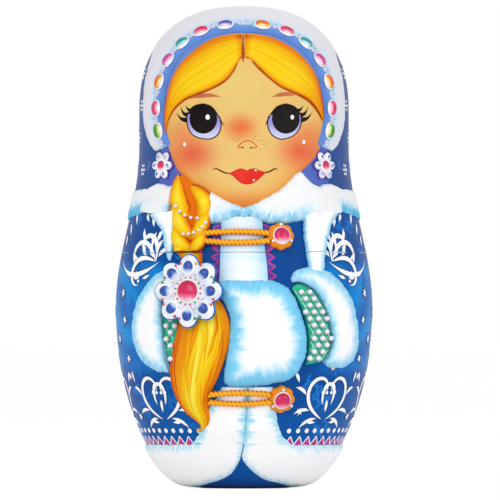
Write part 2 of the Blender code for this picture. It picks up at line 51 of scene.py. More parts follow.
crownLow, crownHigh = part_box("outer_upper_half")
seatGap = 0.3    # between glued relief and the wood
form = {
    "height": crownHigh.z,
    "bellyRadius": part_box("outer_lower_half")[1].x,
    "seamZ": crownLow.z - seatGap * mm,
    "seamTaper": 2.27 * mm,
    "seamSteepness": 1.374,
    "footRadius": 14 * mm,
    "bowlStart": 12 * mm,
    "bowlDepth": 79.5 * mm,
    "bellyZ": 68 * mm,
    "neckZ": 127 * mm,
    "headRadius": 39.2 * mm,
    "browZ": 140 * mm,
    "crownPower": 2.4,
    "jawPower": 1.8,
    "jawDrop": 35 / 0.755,    # in mm
    "paintedHeights": (0.02, 179.8),    # in mm
}
seam = form["seamZ"] / mm
seamLow, seamHigh = seam - 0.06, seam + 0.14    # where relief stops on either side of the seam


def bowl(z):
    return form["bellyRadius"] * sqrt(1 - ((form["bellyZ"] - z) / form["bowlDepth"]) ** 2)


def turnedRadius(z):
    f = form
    if z < f["bowlStart"]:    # the rounded corner of the foot
        start, down = bowl(f["bowlStart"]), (f["bellyZ"] - f["bowlStart"]) / f["bowlDepth"]
        corner = start - f["bellyRadius"] / f["bowlDepth"] * down / sqrt(1 - down**2) * f["bowlStart"]
        t = sqrt(max(z, 0) / f["bowlStart"])
        return (1 - t) ** 2 * f["footRadius"] + 2 * t * (1 - t) * corner + t**2 * start
    if z < f["bellyZ"]:
        return bowl(z)
    if z < f["neckZ"]:    # two smooth spans that meet at the seam
        waist = f["bellyRadius"] - f["seamTaper"]
        slope = f["seamSteepness"] * (f["headRadius"] - f["bellyRadius"]) / (f["neckZ"] - f["bellyZ"])
        spans = [(f["bellyZ"], f["seamZ"], f["bellyRadius"], waist, 0, slope),
                 (f["seamZ"], f["neckZ"], waist, f["headRadius"], slope, 0)]
        low, high, start, end, rise, fall = spans[int(z >= f["seamZ"])]
        length, t = high - low, (z - low) / (high - low)
        ends = start * (1 + 2 * t) * (1 - t) ** 2 + end * (3 - 2 * t) * t**2
        return ends + length * (rise * t * (1 - t) ** 2 - fall * (1 - t) * t**2)
    up = min(max(z - f["browZ"], 0) / (f["height"] - f["browZ"]), 1)
    return f["headRadius"] * (1 - up ** f["crownPower"]) ** (1 / f["crownPower"])


profileZ = form["height"] * (1 - np.linspace(1, 0, 6001) ** 2)    # closest together at the crown
profileR = np.array([turnedRadius(z) for z in profileZ])
profileSlope = np.gradient(profileR, profileZ)


def radiusAt(z):    # in mm, at a height in mm
    return np.interp(np.asarray(z) * mm, profileZ, profileR) / mm


def slopeAt(z):    # the profile's slope there, and the length along it of a step up by one
    slope = np.interp(np.asarray(z) * mm, profileZ, profileSlope)
    return slope, np.sqrt(1 + slope**2)


# Points at a lift in mm off the doll's surface. Azimuth 0 is the front, at -Y.
def onDoll(azimuth, z, lift):
    azimuth, z, lift = np.broadcast_arrays(azimuth, z, lift)
    slope, length = slopeAt(z)
    r = np.maximum(radiusAt(z) + lift / length, 0)
    return np.stack([r * np.sin(azimuth), -r * np.cos(azimuth), z - lift * slope / length], -1) * mm


def frontAzimuth(x, radius):
    return np.arcsin(np.clip(x / radius, -0.999, 0.999))


def frontView(x, z):    # the azimuth and height of a place seen from the front
    return frontAzimuth(x, radiusAt(z)), np.asarray(z)


# A chart whose x runs along the surface from that azimuth; mirror -1 draws it on the other side.
def wrappedFrom(degrees, mirror=1):
    return lambda x, z: (mirror * (radians(degrees) + x / radiusAt(z)), np.asarray(z))


# Moves places on the front so that, once raised by that lift, they still look to be where they were drawn.
def settle(azimuth, z, lift):
    x, target = radiusAt(z) * np.sin(azimuth), z
    for _ in range(8):
        slope, length = slopeAt(z)
        z = 0.5 * z + 0.5 * np.clip(target + lift * slope / length, *form["paintedHeights"])
    return frontAzimuth(x, radiusAt(z) + lift / slopeAt(z)[1]), z


def frontX(degrees, z, lift=0.0):    # where a place at that azimuth is seen from the front
    return float(radiusAt(z) + lift) * sin(radians(degrees))


def unrolled(azimuth, z):
    return np.stack(np.broadcast_arrays(azimuth * radiusAt(z), z), -1)


# Azimuth and height on the head. Angle 0 is the crown; share 1 is its outline, and more lies behind it.
def headPoint(angle, share):
    angle, share = np.broadcast_arrays(np.asarray(angle, float), share)
    behind, share = share > 1, np.where(share > 1, 2 - share, share)
    side, up = np.sin(angle), np.cos(angle)
    power, drop = 2 / form["crownPower"], (form["height"] - form["browZ"]) / mm
    jaw = 2 / form["jawPower"]
    across = np.where(up >= 0, np.abs(side) ** power, np.abs(side) ** jaw) * np.sign(side)
    rise = np.where(up >= 0, np.abs(up) ** power * drop, -np.abs(up) ** jaw * form["jawDrop"])
    z = form["browZ"] / mm + rise * share
    across = across * share * form["headRadius"] / mm
    azimuth = np.arcsin(np.clip(across / np.maximum(radiusAt(z), 1e-6), -1, 1))
    return np.where(behind, np.sign(side) * pi - azimuth, azimuth), z


# A matrix on the surface: X sideways, Y up along it, Z out of it.
def frameOn(azimuth, z, lift, spin=0.0):
    place = Vector(onDoll(azimuth, z, lift).tolist())
    out = (Vector(onDoll(azimuth, z, lift + 1).tolist()) - place).normalized()
    side = Vector((cos(azimuth), sin(azimuth), 0))
    turned = Matrix((side, out.cross(side), out)).transposed().to_4x4()
    return Matrix.Translation(place) @ turned @ Matrix.Rotation(spin, 4, "Z")


def moved(place, x=0.0, y=0.0, z=0.0, turn=0.0):    # turned about its own Z, then shifted in mm
    return place @ Matrix.Rotation(turn, 4, "Z") @ Matrix.Translation((x * mm, y * mm, z * mm))


# A smooth random wave of x between 0 and 1, the same on each run.
def wobble(x, seed):
    table = np.random.RandomState(seed).rand(512)
    low = np.floor(x).astype(int)
    t = x - low
    t = t * t * (3 - 2 * t)
    return table[low % 512] * (1 - t) + table[(low + 1) % 512] * t


# Two such waves, a broad and a fine one, between -0.5 and 0.5.
def tufts(x, broad, fine, seed):
    return 0.6 * wobble(x * broad, seed) + 0.4 * wobble(x * fine, seed + 1) - 0.5


def smooth(low, high, x):
    t = np.clip((x - low) / (high - low), 0, 1)
    return t * t * (3 - 2 * t)


def unit(vectors):
    return vectors / (np.linalg.norm(vectors, axis=-1, keepdims=True) + 1e-12)


def leftOf(line):    # unit steps to the left of a flat line
    along = unit(np.gradient(line, axis=0))
    return np.stack([-along[:, 1], along[:, 0]], 1)


def runAlong(line):    # the length of a line up to each of its points
    return np.concatenate([[0], np.cumsum(np.linalg.norm(np.diff(line, axis=0), axis=1))])


def curveThrough(points, count):    # a smooth curve
    p = np.array(points, float)
    ends = np.vstack([2 * p[0] - p[1], p, 2 * p[-1] - p[-2]])
    t = np.linspace(0, len(p) - 1, count)
    i = np.minimum(t.astype(int), len(p) - 2)
    f = (t - i)[:, None]
    a, b, c, d = ends[i], ends[i + 1], ends[i + 2], ends[i + 3]
    bend = (2 * a - 5 * b + 4 * c - d) * f**2 + (3 * b - a - 3 * c + d) * f**3
    return 0.5 * (2 * b + (c - a) * f + bend)


def evenly(line, count):    # the same line with its points evenly spaced
    steps = runAlong(line)
    at = np.linspace(0, steps[-1], count)
    return np.stack([np.interp(at, steps, line[:, k]) for k in range(line.shape[1])], 1)


def dense(points, step=0.8):    # a smooth curve with one point every step
    line = curveThrough(points, len(points) * 14)
    return evenly(line, max(3, int(runAlong(line)[-1] / step)))


def frayed(points, amount, seed, step=0.35):    # the same curve with small tufts along it
    line = dense(points, step)
    s = np.arange(len(line)) * step
    ends = np.minimum(1, np.minimum(s, s[::-1]) / 2)
    return line + leftOf(line) * (tufts(s, 0.8, 2.3, seed) * ends * 2 * amount)[:, None]


def lineX(points, z):    # x on a line of (x, z) places, at that height
    return np.interp(z, *[[p[i] for p in points] for i in (1, 0)])


# For any place on a piece: how far it lies from the piece's edges, and where along them.
class EdgeField:
    def __init__(self, lines, chart=frontView):
        starts, ends, runs = [], [], []
        reach = 0.0
        for line in lines:
            spots = unrolled(*chart(*np.asarray(line, float).T))
            run = runAlong(spots)
            starts.append(spots[:-1])
            ends.append(spots[1:])
            runs.append(reach + run[:-1])
            reach += run[-1] + 7.3    # so that no two lines share their locks
        self.starts, self.ends, self.runs = map(np.concatenate, (starts, ends, runs))

    def __call__(self, azimuth, z):
        flat = unrolled(azimuth, z).reshape(-1, 2)
        span = self.ends - self.starts
        length = np.linalg.norm(span, axis=1) + 1e-9
        depths, runs = [], []
        for part in np.array_split(flat, max(1, len(flat) // 2000)):
            t = np.clip(((part[:, None] - self.starts) * span).sum(-1) / length**2, 0, 1)
            gap = np.linalg.norm(part[:, None] - self.starts - t[..., None] * span, axis=-1)
            k = gap.argmin(1)
            rows = np.arange(len(part))
            depths.append(gap[rows, k])
            runs.append(self.runs[k] + t[rows, k] * length[k])
        return np.concatenate(depths).reshape(azimuth.shape), np.concatenate(runs).reshape(azimuth.shape)


paintDepth = 0.075    # scale in mm of the relief on inner dolls, which are painted and nearly flat
paintSink = -0.03     # and how far its underside lies in the wood


# Points, faces and two painted values, tint and grain, gathered for one object on one half of a doll.
class Piece:
    def __init__(self, half, doll=0):
        self.half, self.doll = half, doll
        self.points, self.faces, self.tint, self.grain, self.slots = [], [], [], [], []
        self.low, self.high = {"upper": (seamHigh, form["height"] / mm), "lower": (0, seamLow)}[half]

    def pick(self, outer, inner):    # how finely the largest doll and the others are made
        return inner if self.doll else outer

    def raised(self, lift):    # the lift this doll really gets
        return paintDepth * np.log1p(np.maximum(lift, 0) / 0.06) if self.doll else lift

    def sunk(self, lift):
        return paintSink if self.doll else lift

    def misses(self, z):
        return np.max(z) <= self.low or np.min(z) >= self.high

    def add(self, points, faces, tint=0.0, grain=0.0, slot=0):
        start = len(self.points)
        points = np.asarray(points, float).reshape(-1, 3)
        self.points.extend(points.tolist())
        self.tint.extend(np.broadcast_to(tint, len(points)).tolist())
        self.grain.extend(np.broadcast_to(grain, len(points)).tolist())
        self.faces.extend([tuple(start + i for i in f) for f in faces])
        self.slots.extend([slot] * len(faces))

    # Makes the object on its half of its doll. Inner dolls are all painted wood and replace halves only.
    def build(self, name, finishes, slotName, *nodes, sharp=50):
        if not self.points:
            return
        mesh = bpy.data.meshes.new(name)
        points = np.array(self.points) * dollScales[self.doll] + (0, 0, dollBases[self.doll])
        mesh.from_pydata(points.tolist(), [], self.faces)
        work = bmesh.new()
        work.from_mesh(mesh)
        bmesh.ops.recalc_face_normals(work, faces=work.faces)
        work.to_mesh(mesh)
        work.free()
        for key in ("tint", "grain"):
            layer = mesh.attributes.new(key, "FLOAT", "POINT")
            layer.data.foreach_set("value", np.array(getattr(self, key), np.float32))
        for word in finishes.split():
            mesh.materials.append(finish[word])
        mesh.polygons.foreach_set("material_index", self.slots)
        mesh.shade_smooth()
        mesh.set_sharp_from_angle(angle=radians(sharp))
        obj = bpy.data.objects.new(name + (str(self.doll + 1) if self.doll else ""), mesh)
        bpy.context.scene.collection.objects.link(obj)
        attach(obj, "doll_5" if self.doll == 4 else dollNames[self.doll] + "_" + self.half)
        nodes = [node for node in nodes if self.doll == 0 or node.startswith("doll_")]
        if nodes:
            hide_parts(*nodes)


# A closed sheet between two grids of points.
def slab(top, bottom, tint, grain):
    m, n = top.shape[:2]
    k = 2 * n
    faces = []
    for a in range(0, (m - 1) * k, k):
        faces += [(a + j, a + (j + 1) % k, a + k + (j + 1) % k, a + k + j) for j in range(k)]
    for a in (0, (m - 1) * k):
        faces += [(a + j, a + j + 1, a + k - 2 - j, a + k - 1 - j) for j in range(n - 1)]
    both = lambda value: np.concatenate([value, value[:, ::-1]], 1)
    tint, grain = (both(np.broadcast_to(value, (m, n))).ravel() for value in (tint, grain))
    return np.concatenate([top, bottom[:, ::-1]], 1), faces, tint, grain


sheetSink = 0.08    # how far the underside of a sheet lies below its seat


# A slab whose top is a grid of places on the doll, at that lift above its seat, cut off at the seam.
def sheet(piece, azimuth, z, lift, seat, tint=0.0, grain=0.0, slot=0, front=True):
    top = piece.raised(seat + lift)
    if front:
        azimuth, z = settle(azimuth, z, top)
    if piece.misses(z):
        return
    z = np.clip(z, piece.low, piece.high)
    under = onDoll(azimuth, z, piece.sunk(seat - sheetSink))
    piece.add(*slab(onDoll(azimuth, z, top), under, tint, grain), slot)


# A grid of places between two dense edge curves, with u along it and v across.
def between(left, right, steps, across, chart=frontView):
    a, b = evenly(left, steps), evenly(right, steps)
    v = np.linspace(0, 1, across)
    spot = a[:, None] * (1 - v)[None, :, None] + b[:, None] * v[None, :, None]
    u, v = np.meshgrid(np.linspace(0, 1, steps), v, indexing="ij")
    return *chart(spot[..., 0], spot[..., 1]), u, v


# A brush stroke along a path, rounded across and narrowing over a share of its length at either end.
def stroke(piece, path, width, seat, rise=0.06, chart=frontView, steps=20, across=5, taper=(0.5, 0.5),
           tint=0.0, grain=0.0, slot=0):
    line = evenly(curveThrough(path, steps * 3), steps)
    s = np.linspace(0, 1, steps)
    widths = np.atleast_1d(np.array(width, float))
    half = np.interp(s, np.linspace(0, 1, len(widths)), widths) / 2
    for share, edge in ((taper[0], s), (taper[1], 1 - s)):
        if share:
            half = half * np.clip(edge / share, 0, 1) ** 0.6
    half = np.maximum(half, 0.015)
    v = np.linspace(-1, 1, across)
    spot = line[:, None] + leftOf(line)[:, None] * (half[:, None] * v)[..., None]
    azimuth, z = chart(spot[..., 0], spot[..., 1])
    crown = np.sqrt(1 - v**2 * 0.94) * np.clip(half / half.max(), 0.2, 1)[:, None]
    call = lambda value: value(s[:, None], v[None]) if callable(value) else value
    sheet(piece, azimuth, z, rise * crown, call(seat), call(tint), call(grain), slot, chart is frontView)


# A closed patch inside a star-shaped outline. Lift, tint and grain may be functions of (azimuth, z, share).
def polar(piece, outline, seat, lift, rings=5, chart=frontView, middle=None, tint=0.0, grain=0.0, slot=0):
    edge = np.array(outline, float)
    middle = edge.mean(0) if middle is None else np.array(middle, float)
    share = np.linspace(0, 1, rings + 1)[1:] ** 0.8
    spot = middle + (edge - middle)[:, None] * share[None, :, None]
    azimuth, z = chart(spot[..., 0], spot[..., 1])
    shares = np.broadcast_to(share, azimuth.shape)
    one = [np.array([value]) for value in (*chart(*middle), 0.0)]
    call = lambda value, a, h, s: value(a, h, s) if callable(value) else np.broadcast_to(value, np.shape(a))
    rise, midRise = (piece.raised(seat + call(lift, *at)) for at in ((azimuth, z, shares), one))
    paint = []
    for value in (tint, grain):
        grid = np.asarray(call(value, azimuth, z, shares)).ravel()
        paint.append(np.concatenate([grid, grid, np.repeat(call(value, *one), 2)]))
    if chart is frontView:
        azimuth, z = settle(azimuth, z, rise)
        one = settle(one[0], one[1], midRise)
    if piece.misses(z):
        return
    z, midZ = np.clip(z, piece.low, piece.high), np.clip(one[1], piece.low, piece.high)
    low = piece.sunk(seat - sheetSink)
    grids = [onDoll(azimuth, z, rise), onDoll(azimuth, z, low)]
    grids += [onDoll(one[0], midZ, midRise), onDoll(one[0], midZ, low)]
    m, n = azimuth.shape
    under, midTop, midLow = m * n, 2 * m * n, 2 * m * n + 1
    faces = []
    for a in range(0, m * n, n):
        b = (a + n) % (m * n)
        faces += [(midTop, a, b), (midLow, under + b, under + a)]
        faces += [(a + r, a + r + 1, b + r + 1, b + r) for r in range(n - 1)]
        faces += [(under + a + r, under + b + r, under + b + r + 1, under + a + r + 1) for r in range(n - 1)]
        faces.append((a + n - 1, under + a + n - 1, under + b + n - 1, b + n - 1))
    piece.add(np.concatenate([grid.reshape(-1, 3) for grid in grids]), faces, *paint, slot)


def roundAngles(count):
    return np.linspace(0, 2 * pi, count, endpoint=False)


def oval(x, z, halfWide, halfHigh, lean=0.0, count=40):
    u, v = halfWide * np.cos(roundAngles(count)), halfHigh * np.sin(roundAngles(count))
    return np.stack([x + u * cos(lean) - v * sin(lean), z + u * sin(lean) + v * cos(lean)], 1)


def disc(x, z, radius, count):
    return oval(x, z, radius, radius, count=count)


def closedCurve(points, count):    # a smooth closed outline
    p = [tuple(q) for q in points]
    line = curveThrough(p[-3:] + p + p[:4], (len(p) + 7) * 16)
    start, stop = 3 * 16, (3 + len(p)) * 16
    return evenly(line[start:stop + 1], count + 1)[:-1]


# Rings of points round a frame's Z, in mm, closed by a point on top and one at the frame's plane.
# With a half height given, the tint runs up the piece from 0 to 1, which paints the light and shade across
# stones and pearls.
def dome(piece, place, x, y, z, top, halfHigh=None, tint=0.5, slot=0):
    x, y, z = np.broadcast_arrays(x, y, z)
    points = np.concatenate([np.stack([x, y, z], -1).reshape(-1, 3), [[0, 0, top], [0, 0, 0]]])
    m, n = x.shape
    faces = []
    for a in range(0, m * n, n):
        b = (a + n) % (m * n)
        faces += [(m * n, a, b), (m * n + 1, b + n - 1, a + n - 1)]
        faces += [(a + r, a + r + 1, b + r + 1, b + r) for r in range(n - 1)]
    matrix = np.array(place)
    if halfHigh:
        tint = points[:, 1] / (2 * halfHigh) + 0.5
    piece.add(points * mm @ matrix[:3, :3].T + matrix[:3, 3], faces, tint, 0.0, slot)


# A domed stone with a flat back.
def cabochon(piece, place, halfWide, halfHigh, rise, sides=26, rings=7, fullness=1.0, slot=0):
    a, t = roundAngles(sides), np.linspace(0, 1, rings + 1)[1:] * pi / 2
    x, y = halfWide * np.outer(np.cos(a), np.sin(t)), halfHigh * np.outer(np.sin(a), np.sin(t))
    dome(piece, place, x, y, rise * np.maximum(np.cos(t), 0) ** fullness, rise, halfHigh, slot=slot)


# A small ball that rests on the frame's plane.
def pearl(piece, place, radius, slot=0):
    a, t = roundAngles(14), np.linspace(0, pi, 9)[1:-1]
    x, y = radius * np.outer(np.cos(a), np.sin(t)), radius * np.outer(np.sin(a), np.sin(t))
    dome(piece, place, x, y, radius * (1 + np.cos(t)), 2 * radius, radius, slot=slot)


# A turned form with that outline; profile lists (share of the outline, height) from its middle to its rim.
def rosette(piece, place, outline, profile, tint=0.5, slot=0):
    a = roundAngles(len(outline))
    share, rise = np.array(list(profile) + [(1, 0)]).T
    x, y = np.outer(np.cos(a) * outline, share), np.outer(np.sin(a) * outline, share)
    dome(piece, place, x, y, rise, rise[0], tint=tint, slot=slot)


def lobed(radius, depth, lobes):
    return radius * (1 - depth + depth * np.abs(np.cos(roundAngles(120) * lobes / 2)) ** 0.8)


# A round rod through 3-D points in metres, closed at both ends.
def tube(piece, path, radius, sides=10, tint=0.0):
    step = unit(np.gradient(path, axis=0))
    side = np.cross(step, (0.0, 0.0, 1.0))
    side[np.linalg.norm(side, axis=1) < 0.1] = (1, 0, 0)
    side = unit(side)
    a = roundAngles(sides)[:, None]
    ring = side[:, None] * np.cos(a) + np.cross(side, step)[:, None] * np.sin(a)
    end = (len(path) - 1) * sides
    faces = [tuple(range(sides)), tuple(range(end, end + sides))]
    for i in range(0, end, sides):
        around = [(i + j, i + (j + 1) % sides) for j in range(sides)]
        faces += [(a, b, b + sides, a + sides) for a, b in around]
    piece.add(path[:, None] + ring * radius * mm, faces, np.repeat(tint, sides))


dollNames = ["outer", "doll_2", "doll_3", "doll_4", "doll_5"]
lowNodes, highNodes = ([name + half for name in dollNames[1:4]] + dollNames[4:]
                       for half in ("_lower_half", "_upper_half"))
dollBases = [0.0] + [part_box(node)[0].z for node in lowNodes]
dollTops = [crownHigh.z] + [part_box(node)[1].z for node in highNodes]
dollScales = [(top - base) / form["height"] for base, top in zip(dollBases, dollTops)]

print("Finishes")


def colour(r, g, b):    # 0 to 255 as it looks on the doll, in Blender's own scale
    line = lambda c: c / 12.92 if c <= 0.04045 else ((c + 0.055) / 1.055) ** 2.4
    return (line(r / 255), line(g / 255), line(b / 255), 1)


# A Principled material, with short calls for the nodes that paint it.
class Finish:
    def __init__(self, name, roughness=0.4, coat=0.0, specular=0.08):
        self.material = bpy.data.materials.new(name)
        self.material.use_nodes = True
        self.nodes, self.links = self.material.node_tree.nodes, self.material.node_tree.links
        self.shader = self.nodes["Principled BSDF"]
        self.fix(self.shader, Roughness=roughness, Specular_IOR_Level=specular)
        if coat:
            self.fix(self.shader, Coat_Weight=coat, Coat_Roughness=0.12)

    def fix(self, node, **values):
        for word, value in values.items():
            node.inputs[word.replace("_", " ")].default_value = value

    def node(self, kind, **settings):
        made = self.nodes.new("ShaderNode" + kind)
        for key, value in settings.items():
            setattr(made, key, value)
        return made

    def set(self, sockets, values):
        for socket, value in zip(sockets, values):
            if isinstance(value, (int, float, tuple)):
                socket.default_value = value
            else:
                self.links.new(value, socket)

    def place(self):
        return self.node("TexCoord").outputs["Object"]

    def value(self, name):
        return self.node("Attribute", attribute_name=name).outputs["Fac"]

    def noise(self, scale, detail=3.0, source=None, stretch=(1, 1, 1)):
        mapping = self.node("Mapping")
        self.fix(mapping, Scale=stretch)
        self.links.new(source or self.place(), mapping.inputs["Vector"])
        made = self.node("TexNoise")
        self.fix(made, Scale=scale, Detail=detail)
        self.links.new(mapping.outputs["Vector"], made.inputs["Vector"])
        return made.outputs["Fac"]

    # Streaks that run across the grain value and wander a little along the tint value.
    def strands(self, scale, stretch, detail):
        both = self.node("CombineXYZ")
        self.links.new(self.value("grain"), both.inputs["X"])
        self.links.new(self.maths("MULTIPLY", self.value("tint"), stretch), both.inputs["Y"])
        return self.noise(scale, detail, both.outputs["Vector"])

    def ramp(self, source, stops):
        made = self.node("ValToRGB")
        elements = made.color_ramp.elements
        while len(elements) < len(stops):
            elements.new(0.5)
        for element, (position, tone) in zip(elements, stops):
            element.position, element.color = position, colour(*tone)
        self.links.new(source, made.inputs["Fac"])
        return made.outputs["Color"]

    def maths(self, operation, a, b=0.5):
        made = self.node("Math", operation=operation)
        self.set(made.inputs, (a, b))
        return made.outputs[0]

    def varied(self, source, noise, amount):    # source, shifted up and down by a noise
        return self.maths("ADD", source, self.maths("MULTIPLY", self.maths("SUBTRACT", noise, 0.5), amount))

    def blend(self, amount, a, b):
        made = self.node("Mix", data_type="RGBA")
        self.set((made.inputs[0], made.inputs[6], made.inputs[7]), (amount, a, b))
        return made.outputs[2]

    def paint(self, source):
        self.links.new(source, self.shader.inputs["Base Color"])

    def rough(self, source, low, high):
        made = self.node("MapRange")
        self.set(made.inputs, (source, 0.0, 1.0, low, high))
        self.links.new(made.outputs[0], self.shader.inputs["Roughness"])

    def bump(self, source, distance, strength):
        made = self.node("Bump")
        self.fix(made, Distance=distance * mm, Strength=strength)
        self.links.new(source, made.inputs["Height"])
        self.links.new(made.outputs["Normal"], self.shader.inputs["Normal"])


# Brushed paint under a satin varnish: two close tones, mixed in soft clouds.
def lacquer(name, deep, pale, scale=60, roughness=(0.30, 0.42), coat=0.0):
    made = Finish(name, roughness[0], coat)
    made.paint(made.ramp(made.noise(scale, 4), [(0.32, deep), (0.68, pale)]))
    made.rough(made.noise(scale * 6, 2), *roughness)
    made.bump(made.noise(scale * 14, 2), 0.03, 0.4)
    return made.material


# Paint that runs through several tones along the tint value.
def shaded(name, stops, roughness=(0.30, 0.42), coat=0.0):
    made = Finish(name, roughness[0], coat)
    made.paint(made.ramp(made.varied(made.value("tint"), made.noise(160), 0.12), stops))
    made.rough(made.noise(400, 2), *roughness)
    made.bump(made.noise(900, 2), 0.02, 0.4)
    return made.material


def woodFinish():
    made = Finish("turnedLimewood", 0.55)
    rings = made.node("TexWave", wave_type="RINGS", rings_direction="Z")
    made.fix(rings, Scale=90.0, Distortion=5.0, Detail=3.0)
    made.links.new(made.place(), rings.inputs["Vector"])
    grain = made.noise(900, 3, stretch=(1, 1, 0.06))
    tone = made.ramp(grain, [(0.3, (214, 178, 128)), (0.75, (238, 212, 168))])
    ringTone = made.ramp(rings.outputs["Color"], [(0.2, (190, 146, 96)), (0.8, (244, 222, 182))])
    made.paint(made.blend(0.16, tone, ringTone))
    made.rough(grain, 0.48, 0.66)
    made.bump(grain, 0.06, 0.5)
    return made.material


# The coat's blue: tint 0 is deep, 1 is the bright light on a sleeve, with soft brush clouds.
def coatFinish(name, stops):
    made = Finish(name, 0.34)
    clouds = made.noise(45, 5)
    fine = made.noise(260, 3, stretch=(1, 1, 0.4))
    made.paint(made.ramp(made.varied(made.varied(made.value("tint"), clouds, 0.34), fine, 0.16), stops))
    made.rough(fine, 0.28, 0.40)
    made.bump(made.noise(700, 2), 0.03, 0.4)
    return made.material


# Fur whose tint runs from white to the blue of the painted shade at its edge, broken up by combed streaks.
def furFinish(name, stops, streak):
    made = Finish(name, 0.62, 0.0, 0.05)
    locks = made.strands(0.9, 2.0, 1.0)
    hairs = made.strands(3.4, 2.5, 3.0)
    amount = made.varied(made.varied(made.value("tint"), locks, streak), hairs, streak * 0.55)
    made.paint(made.ramp(amount, stops))
    made.rough(hairs, 0.5, 0.75)
    made.bump(made.varied(hairs, locks, 0.8), 0.14, 0.35)
    return made.material


# Golden hair: tint 0 is bright yellow, 1 is the deep orange of its painted shade; grain counts across the
# strands.
def hairFinish():
    made = Finish("combedHair", 0.36, 0.02)
    locks, fine = made.strands(0.8, 0.6, 2.0), made.strands(3.5, 1.2, 3.0)
    amount = made.varied(made.varied(made.value("tint"), locks, 0.55), fine, 0.45)
    made.paint(made.ramp(amount, [(0.02, (252, 232, 80)), (0.2, (247, 214, 26)), (0.42, (242, 184, 8)),
                                  (0.62, (238, 150, 6)), (0.8, (230, 112, 6)), (1.0, (182, 74, 8))]))
    made.rough(fine, 0.28, 0.42)
    made.bump(fine, 0.16, 0.5)
    return made.material


# A polished stone, lit from one side: tint runs across it from pale to deep.
def stoneFinish(name, deep, pale):
    made = Finish(name, 0.1, 0.35, 0.3)
    amount = made.varied(made.value("tint"), made.noise(420, 2), 0.22)
    shadow = tuple(c * 0.84 for c in deep)
    made.paint(made.ramp(amount, [(0.0, (252, 244, 248)), (0.2, pale), (0.38, deep), (1.0, shadow)]))
    made.fix(made.shader, Coat_Roughness=0.05)
    made.rough(made.noise(900, 2), 0.06, 0.14)
    return made.material


# Soft rouge on the face, with painted highlights on the forehead and above the lips: x, z, half width, half
# height, tone, strength.
rougeAndLights = [
    (-0.5, 150.0, 16.0, 13.0, (228, 200, 116), 0.7),
    (-19.4, 124.8, 14.0, 11.0, (226, 88, 66), 0.92), (21.2, 126.0, 14.0, 11.0, (228, 92, 64), 0.92),
    (-23.0, 132.6, 9.5, 8.0, (230, 120, 72), 0.6), (24.6, 132.6, 9.5, 8.0, (230, 120, 72), 0.6),
    (-1.4, 134.6, 9.5, 7.4, (226, 100, 46), 0.88), (1.2, 105.0, 22.0, 8.5, (222, 116, 44), 0.8),
    (0.5, 122.6, 12.0, 3.0, (236, 188, 108), 0.6),
]


# Face paint for one doll, warmer and darker towards its edge as painted shade, with the rouge and painted
# highlights at that doll's own size.
def skinFinish(k):
    made = Finish(f"facePaint{k + 1}", 0.42)
    scale, base = dollScales[k] * mm, dollBases[k]
    place = made.place()
    skinStops = [(0.0, (230, 191, 114)), (0.4, (231, 180, 98)), (0.75, (232, 164, 82)),
                 (1.0, (224, 122, 52))]
    tone = made.ramp(made.varied(made.value("tint"), made.noise(70), 0.10), skinStops)
    for x, z, wide, high, tint, amount in rougeAndLights:
        shift = made.node("Mapping")
        made.fix(shift, Location=(-x / wide, 0, -z / high - base / (high * scale)))
        made.fix(shift, Scale=(1 / (wide * scale), 0, 1 / (high * scale)))
        made.links.new(place, shift.inputs["Vector"])
        far = made.node("VectorMath", operation="LENGTH")
        made.links.new(shift.outputs["Vector"], far.inputs[0])
        glow = made.node("MapRange", interpolation_type="SMOOTHSTEP")
        made.set(glow.inputs, (far.outputs["Value"], 1.0, 0.0, 0.0, amount))
        tone = made.blend(glow.outputs[0], tone, colour(*tint))
    made.paint(tone)
    made.rough(made.noise(240, 2), 0.36, 0.48)
    made.bump(made.noise(900, 2), 0.02, 0.35)
    return made.material


# Stops are (place along the tint, tone).
furTones = {
    "fur": ([(0.14, (254, 254, 255)), (0.46, (224, 244, 253)), (0.76, (166, 224, 250)),
             (1.0, (122, 208, 246))], 0.5),
    "collarFur": ([(0.16, (243, 244, 246)), (0.46, (214, 237, 248)), (0.76, (140, 210, 240)),
                   (1.0, (84, 184, 230))], 0.8),
    "hemFur": ([(0.22, (255, 255, 255)), (0.5, (232, 248, 253)), (0.74, (176, 228, 246)),
                (1.0, (124, 206, 238))], 0.7),
    "bandFur": ([(0.2, (229, 229, 235)), (0.5, (214, 226, 240)), (0.74, (140, 200, 232)),
                 (1.0, (96, 178, 224))], 0.7),
}
coatTones = {
    "coat": [(0.0, (4, 62, 134)), (0.22, (6, 80, 158)), (0.5, (8, 108, 190)), (1.0, (0, 140, 216))],
    "scarf": [(0.0, (36, 70, 138)), (0.5, (56, 98, 168)), (1.0, (84, 130, 196))],
    "innerScarf": [(0.0, (74, 84, 170)), (0.5, (98, 122, 206)), (1.0, (124, 160, 218))],
    "edging": [(0.0, (84, 118, 200)), (0.5, (98, 142, 214)), (1.0, (130, 180, 228))],
}
shadedTones = {    # stops, roughness, coat
    # Pearls are darker below and lighter above: painted shade and highlight.
    "pearl": ([(0.1, (196, 184, 212)), (0.45, (240, 234, 244)), (0.9, (255, 253, 252))], (0.14, 0.26), 0.5),
    "cord": ([(0.1, (168, 66, 4)), (0.45, (226, 116, 8)), (0.85, (250, 182, 44))], (0.36, 0.5)),
    "gold": ([(0.1, (184, 80, 6)), (0.45, (236, 138, 14)), (0.85, (252, 196, 60))], (0.26, 0.38), 0.2),
    "frost": ([(0.0, (255, 255, 255)), (0.5, (206, 230, 250)), (1.0, (120, 180, 232))],),
    "satin": ([(0.0, (250, 253, 255)), (0.5, (214, 238, 252)), (1.0, (164, 212, 244))],),
    "eyeWhite": ([(0.0, (206, 208, 240)), (0.5, (178, 172, 222)), (1.0, (142, 134, 200))],),
    "lips": ([(0.0, (228, 46, 30)), (0.5, (216, 32, 24)), (1.0, (182, 18, 16))], (0.3, 0.4), 0.1),
    "lining": ([(0.0, (32, 170, 128)), (0.5, (58, 190, 148)), (1.0, (22, 138, 106))],),
}
